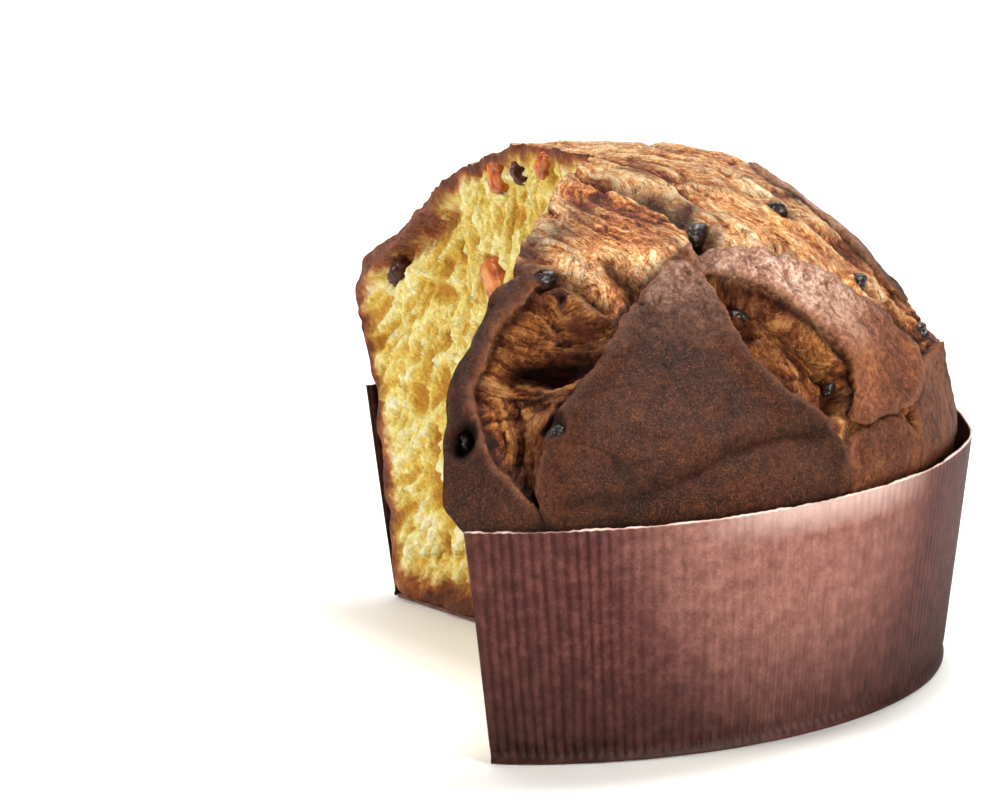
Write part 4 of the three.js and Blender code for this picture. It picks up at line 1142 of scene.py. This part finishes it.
def crumb_material():
    """Egg-rich crumb: soft pale-yellow strands, painted shade of deep yellow in the bubbles, browned at the
    rind.
    """
    material, tree, shader = new_material("yellow_crumb")
    place = add_node(tree, "ShaderNodeTexCoord").outputs["Object"]
    deep = add_node(tree, "ShaderNodeAttribute", {"attribute_name": "deep"}).outputs["Fac"]
    rind = add_node(tree, "ShaderNodeAttribute", {"attribute_name": "rind"}).outputs["Fac"]
    fine = add_node(tree, "ShaderNodeTexNoise",
                    {"Scale": 900.0, "Detail": 4.0, "Roughness": 0.7, "Distortion": 1.0},
                    {"Vector": place}).outputs["Fac"]
    pores = add_node(tree, "ShaderNodeTexVoronoi", {"Scale": 650.0}, {"Vector": place}).outputs["Distance"]
    mottle = add_node(tree, "ShaderNodeTexNoise", {"Scale": 110.0, "Detail": 5.0, "Roughness": 0.6},
                      {"Vector": place}).outputs["Fac"]
    level = weigh(tree, "ADD", deep, weigh(tree, "MULTIPLY", weigh(tree, "SUBTRACT", fine, 0.5), 0.9))
    level = weigh(tree, "ADD", level, weigh(tree, "MULTIPLY", weigh(tree, "SUBTRACT", mottle, 0.5), 0.6))
    # The crumb is pale on its webs and painted deeper yellow in its cells, painted shade that grows with
    # the depth of each bubble, over its own mottling.
    crumb = ramp(tree, level, [(0.0, "#fdf8dc"), (0.26, "#f8efb8"), (0.48, "#eeda7e"), (0.72, "#deb748"),
                               (1.0, "#bd8424")])
    edge = weigh(tree, "ADD", rind, weigh(tree, "MULTIPLY", weigh(tree, "SUBTRACT", mottle, 0.5), 1.3))
    # A few millimetres under the crust it is toasted.
    crust = ramp(tree, edge, [(0.0, "#582810"), (0.14, "#8f481c"), (0.3, "#b96e2a"), (0.5, "#d9a04a"),
                              (1.0, "#e8c67a")])
    amount = add_node(tree, "ShaderNodeMapRange", {1: 0.26, 2: 0.58, 3: 1.0, 4: 0.0}, {0: edge}).outputs[0]
    # Painted shade: deep cells in the toasted band are painted darker.
    shaded = add_node(tree, "ShaderNodeMapRange", {1: 0.3, 2: 0.9, 3: 0.0, 4: 0.6}, {0: level}).outputs[0]
    darker = blend(tree, shaded, crust, "#5a2d16")
    # At the far shoulder the skin folded over the edge of the cut.
    fold = add_node(tree, "ShaderNodeAttribute", {"attribute_name": "fold"}).outputs["Fac"]
    skin = ramp(tree, fine, [(0.35, "#4e2517"), (0.65, "#91543a")])
    tree.links.new(blend(tree, fold, blend(tree, amount, crumb, darker), skin), shader.inputs["Base Color"])
    mixed = weigh(tree, "ADD", fine, weigh(tree, "MULTIPLY", pores, 0.8))
    bump = add_node(tree, "ShaderNodeBump", {"Strength": 1.0, "Distance": 1.1 * MM}, {"Height": mixed})
    tree.links.new(bump.outputs[0], shader.inputs["Normal"])
    shader.inputs["Roughness"].default_value = 0.6
    shader.inputs["IOR"].default_value = 1.4
    shader.inputs["Subsurface Weight"].default_value = 0.35
    shader.inputs["Subsurface Radius"].default_value = (1.0, 0.8, 0.3)
    shader.inputs["Subsurface Scale"].default_value = 0.0012
    return material


def subtract(piece, cutter):
    """Takes the slice out of a closed piece."""
    only(piece)
    cut = piece.modifiers.new("slice", "BOOLEAN")
    cut.operation = "DIFFERENCE"
    cut.solver = "MANIFOLD"
    cut.object = cutter
    bpy.ops.object.modifier_apply(modifier="slice")


def store(mesh, name, values, kind="FLOAT"):
    """Keeps one value or vector for each vertex under a name that the materials read."""
    attribute = mesh.attributes.new(name, kind, "POINT")
    key = "vector" if kind == "FLOAT_VECTOR" else "value"
    attribute.data.foreach_set(key, np.asarray(values, np.float32).ravel())


def nearest_index(mesh, sources):
    """Index of the nearest source point, in millimetres about the axis, for each vertex."""
    tree = KDTree(len(sources))
    for i, p in enumerate(sources):
        tree.insert(p, i)
    tree.balance()
    co = np.empty(len(mesh.vertices) * 3)
    mesh.vertices.foreach_get("co", co)
    co = co.reshape(-1, 3) / MM
    co[:, 0] -= AXIS_X
    co[:, 1] -= AXIS_Y
    found = [tree.find(p) for p in co]
    return np.array([f[1] for f in found]), np.array([f[2] for f in found]), co


def foot_depth(co):
    """Distance in millimetres from the sides and the browned foot of the loaf."""
    side = np.where(co[:, 2] < CASE_HEIGHT - 4, side_radius(co[:, 2]) - np.hypot(co[:, 0], co[:, 1]), 1e9)
    return np.minimum(np.maximum(side, 0), np.maximum(co[:, 2] - LOAF_BOTTOM, 0) * 0.5)


crust_paint = bread_crust_material()
crumb_paint = crumb_material()

loaf_crust, crust_sources, crust_masks, crust_fibre = build_crust()
loaf_crumb = build_body()
slice_cutter, cut_sources, cut_deep = build_slice()
for holder in (loaf_crust, loaf_crumb, slice_cutter):
    holder.data.materials.append(crust_paint)
    holder.data.materials.append(crumb_paint)
slice_cutter.data.polygons.foreach_set("material_index", np.ones(len(slice_cutter.data.polygons), np.int32))

for loaf_piece in (loaf_crust, loaf_crumb):
    subtract(loaf_piece, slice_cutter)
    data = loaf_piece.data
    of_cut, cut_distance, co = nearest_index(data, cut_sources)
    on_cut = cut_distance < FACE_REACH
    store(data, "deep", np.where(on_cut, cut_deep[of_cut] / DEEPEST, 0.0))
    of_crust, crust_distance, _ = nearest_index(data, crust_sources)
    # The skin of the far shoulder folded over the cut, with a browned hollow below the fold.
    far_along = (co[:, :2] - CORNER) @ FAR_DIRECTION
    near_along = (co[:, :2] - CORNER) @ NEAR_DIRECTION
    shoulder = np.exp(-((far_along - SHOULDER["along"]) / 30) ** 4
                      - ((co[:, 2] - SHOULDER["height"]) / SHOULDER["tall"]) ** 4)
    shoulder = shoulder * (far_along > near_along)
    store(data, "fold", shoulder * smoothstep(5.5, 4.0, crust_distance) * on_cut)
    toasted = RIND + SHOULDER_RIND * shoulder
    store(data, "rind", np.clip(np.minimum(crust_distance, foot_depth(co)) / toasted, 0, 1))
    if loaf_piece is loaf_crust:
        for key, values in crust_masks.items():
            store(data, key, values[of_crust])
        grain = np.concatenate([crust_fibre[of_crust], np.zeros((len(of_crust), 1))], 1) * MM
        store(data, "fibre", grain, "FLOAT_VECTOR")
    else:
        for key in crust_masks:
            store(data, key, np.full(len(data.vertices), 0.5))
        store(data, "fibre", co * MM, "FLOAT_VECTOR")
    data.polygons.foreach_set("use_smooth", np.ones(len(data.polygons), bool))
    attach(loaf_piece, "root")
    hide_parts("loaf")
bpy.data.objects.remove(slice_cutter)


# Raisins and candied peel.
# Dried grapes, scorched nearly black in the crust and brown in the crumb, and cubes of candied orange
# peel. All are wrinkled and sticky, and each sits in the pocket that the dough baked round it.
FRUIT_LEVELS = 3
MERGE = 1e-6
RAISIN_WRINKLE = 0.38
PEEL_WRINKLE = 0.3


def raisin_material(name, dark, middle, light):
    """Raisin skin: dark, finely wrinkled, with the soft gloss of dried sugar."""
    material, tree, shader = new_material(name)
    place = add_node(tree, "ShaderNodeTexCoord").outputs["Object"]
    patch = add_node(tree, "ShaderNodeTexNoise", {"Scale": 500.0, "Detail": 3.0}, {"Vector": place})
    tree.links.new(ramp(tree, patch.outputs["Fac"], [(0.35, dark), (0.6, middle), (0.8, light)]),
                   shader.inputs["Base Color"])
    wrinkle = add_node(tree, "ShaderNodeTexNoise", {"Scale": 700.0, "Detail": 4.0, "Distortion": 1.0},
                       {"Vector": place})
    bump = add_node(tree, "ShaderNodeBump", {"Strength": 0.7, "Distance": 0.5 * MM},
                    {"Height": wrinkle.outputs["Fac"]})
    tree.links.new(bump.outputs[0], shader.inputs["Normal"])
    shader.inputs["Roughness"].default_value = 0.3
    shader.inputs["IOR"].default_value = 1.48
    shader.inputs["Specular IOR Level"].default_value = 0.4
    return material


def peel_material():
    """Candied orange peel: glossy syrup over a clouded, deep orange rind that lets light in."""
    material, tree, shader = new_material("candied_peel")
    place = add_node(tree, "ShaderNodeTexCoord").outputs["Object"]
    patch = add_node(tree, "ShaderNodeTexNoise", {"Scale": 260.0, "Detail": 3.0}, {"Vector": place})
    tree.links.new(ramp(tree, patch.outputs["Fac"], [(0.3, "#7a2c0c"), (0.5, "#b25a1a"), (0.7, "#cf8a3a")]),
                   shader.inputs["Base Color"])
    bump = add_node(tree, "ShaderNodeBump", {"Strength": 0.4, "Distance": 0.4 * MM},
                    {"Height": patch.outputs["Fac"]})
    tree.links.new(bump.outputs[0], shader.inputs["Normal"])
    shader.inputs["Roughness"].default_value = 0.28
    shader.inputs["IOR"].default_value = 1.48
    shader.inputs["Subsurface Weight"].default_value = 0.35
    shader.inputs["Subsurface Radius"].default_value = (1.0, 0.5, 0.15)
    shader.inputs["Subsurface Scale"].default_value = 0.0015
    return material


def fruit_piece(node_name, material, seed, wrinkle):
    """A closer copy of a fruit solid: its mesh merged, smoothed and creased by drying."""
    piece = frame["nodes"][node_name].copy()
    piece.data = piece.data.copy()
    piece.name = node_name + "_fruit"
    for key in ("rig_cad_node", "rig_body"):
        if key in piece:
            del piece[key]
    piece.parent = None
    bpy.context.scene.collection.objects.link(piece)
    piece.matrix_world = Matrix.Identity(4)
    only(piece)
    bpy.ops.object.mode_set(mode="EDIT")
    bpy.ops.mesh.select_all(action="SELECT")
    bpy.ops.mesh.remove_doubles(threshold=MERGE)
    bpy.ops.object.mode_set(mode="OBJECT")
    round_off = piece.modifiers.new("round", "SUBSURF")
    round_off.levels = FRUIT_LEVELS
    round_off.render_levels = FRUIT_LEVELS
    bpy.ops.object.modifier_apply(modifier="round")
    data = piece.data
    co = np.empty(len(data.vertices) * 3)
    normals = np.empty(len(data.vertices) * 3)
    data.vertices.foreach_get("co", co)
    data.vertices.foreach_get("normal", normals)
    co = co.reshape(-1, 3)
    normals = normals.reshape(-1, 3)
    mm = co / MM
    folds = 1 - np.abs(noise(mm[:, 0] / 2.2 + seed, mm[:, 1] / 2.2, mm[:, 2] / 1.6)) * 2.4
    bumps = noise(mm[:, 0] / 1.1, mm[:, 1] / 1.1 + seed, mm[:, 2] / 1.1)
    shift = wrinkle * (0.5 - np.maximum(folds, 0) + 0.4 * bumps)
    data.vertices.foreach_set("co", (co + normals * shift[:, None] * MM).ravel())
    data.polygons.foreach_set("use_smooth", np.ones(len(data.polygons), bool))
    data.materials.clear()
    data.materials.append(material)
    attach(piece, "root")
    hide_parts(node_name)
    return piece


raisin_paint = raisin_material("baked_raisin", "#0c0605", "#1d100c", "#38211a")
soft_raisin_paint = raisin_material("soft_raisin", "#2a0f0a", "#55231a", "#8a4a35")
peel_paint = peel_material()
for number, node_name in enumerate(sorted(frame["nodes"])):
    if node_name.startswith("raisin"):
        paint = raisin_paint if node_name in BAKED_RAISINS else soft_raisin_paint
        fruit_piece(node_name, paint, number * 3.7, RAISIN_WRINKLE)
    elif node_name.startswith("peel"):
        fruit_piece(node_name, peel_paint, number * 2.3, PEEL_WRINKLE)


# Studio.
# A plain pale floor that curves up behind. Soft lights stand at the left and above, with a weak fill at
# the right, a small one for the gleam on the paper, and one on the wall behind.
FLOOR_SIZE = 9
FLOOR_SHIFT = -1.5
FLOOR_LOW = -0.4 * MM
WALL_RISE = 4
WALL_BEND = 1.2
WORLD_LIGHT = 0.08

bpy.ops.object.select_all(action="DESELECT")
bpy.ops.mesh.primitive_plane_add(size=FLOOR_SIZE, location=(0, FLOOR_SHIFT, FLOOR_LOW))
floor = bpy.context.object
floor.name = "floor"
bpy.ops.object.mode_set(mode="EDIT")
bpy.ops.mesh.select_all(action="DESELECT")
bpy.ops.mesh.select_mode(type="EDGE")
bpy.ops.object.mode_set(mode="OBJECT")
for line in floor.data.edges:
    line.select = all(floor.data.vertices[i].co.y > FLOOR_SIZE * 0.45 for i in line.vertices)
bpy.ops.object.mode_set(mode="EDIT")
bpy.ops.mesh.extrude_region_move(TRANSFORM_OT_translate={"value": (0, 0, WALL_RISE)})
bpy.ops.mesh.select_all(action="DESELECT")
bpy.ops.object.mode_set(mode="OBJECT")
for line in floor.data.edges:
    ends = [floor.data.vertices[i].co for i in line.vertices]
    line.select = all(e.y > FLOOR_SIZE * 0.45 and e.z < WALL_RISE / 2 for e in ends)
bpy.ops.object.mode_set(mode="EDIT")
bpy.ops.mesh.bevel(offset=WALL_BEND, segments=20)
bpy.ops.object.mode_set(mode="OBJECT")
bpy.ops.object.transform_apply(location=True, rotation=True, scale=True)
bpy.ops.object.shade_smooth()
floor_paint, _, floor_shader = new_material("pale_floor")
floor_shader.inputs["Base Color"].default_value = linear("#e6e5e3")
floor_shader.inputs["Roughness"].default_value = 0.7
floor.data.materials.append(floor_paint)


def soft_light(name, place, target, size, power, colour):
    """A rectangular lamp aimed at a target. Metres and watts."""
    data = bpy.data.lights.new(name, "AREA")
    data.shape = "RECTANGLE"
    data.size = size[0]
    data.size_y = size[1]
    data.energy = power
    data.color = linear(colour)[:3]
    light = bpy.data.objects.new(name, data)
    bpy.context.scene.collection.objects.link(light)
    light.location = place
    light.rotation_euler = (Vector(target) - Vector(place)).to_track_quat("-Z", "Y").to_euler()


CENTRE = (AXIS_X * MM, 0.0, 0.08)
soft_light("left", (-1.25, -0.5, 0.75), CENTRE, (0.5, 0.5), 17.5, "#fffaf2")
soft_light("right", (0.95, -1.05, 0.75), CENTRE, (0.6, 0.6), 2.5, "#fffdf8")
soft_light("near_right", (0.22, -0.42, 0.11), (0.03, -0.085, 0.045), (0.12, 0.2), 3.2, "#fffdf8")
soft_light("top", (0.25, 0.2, 1.25), CENTRE, (0.4, 0.3), 15.0, "#ffffff")
soft_light("backdrop", (0.0, 0.9, 2.6), (0.0, 3.0, 0.3), (3.0, 1.0), 120.0, "#ffffff")

world = bpy.data.worlds.new("studio")
bpy.context.scene.world = world
world.use_nodes = True
sky = world.node_tree.nodes["Background"]
sky.inputs["Color"].default_value = (1.0, 1.0, 1.0, 1.0)
sky.inputs["Strength"].default_value = WORLD_LIGHT
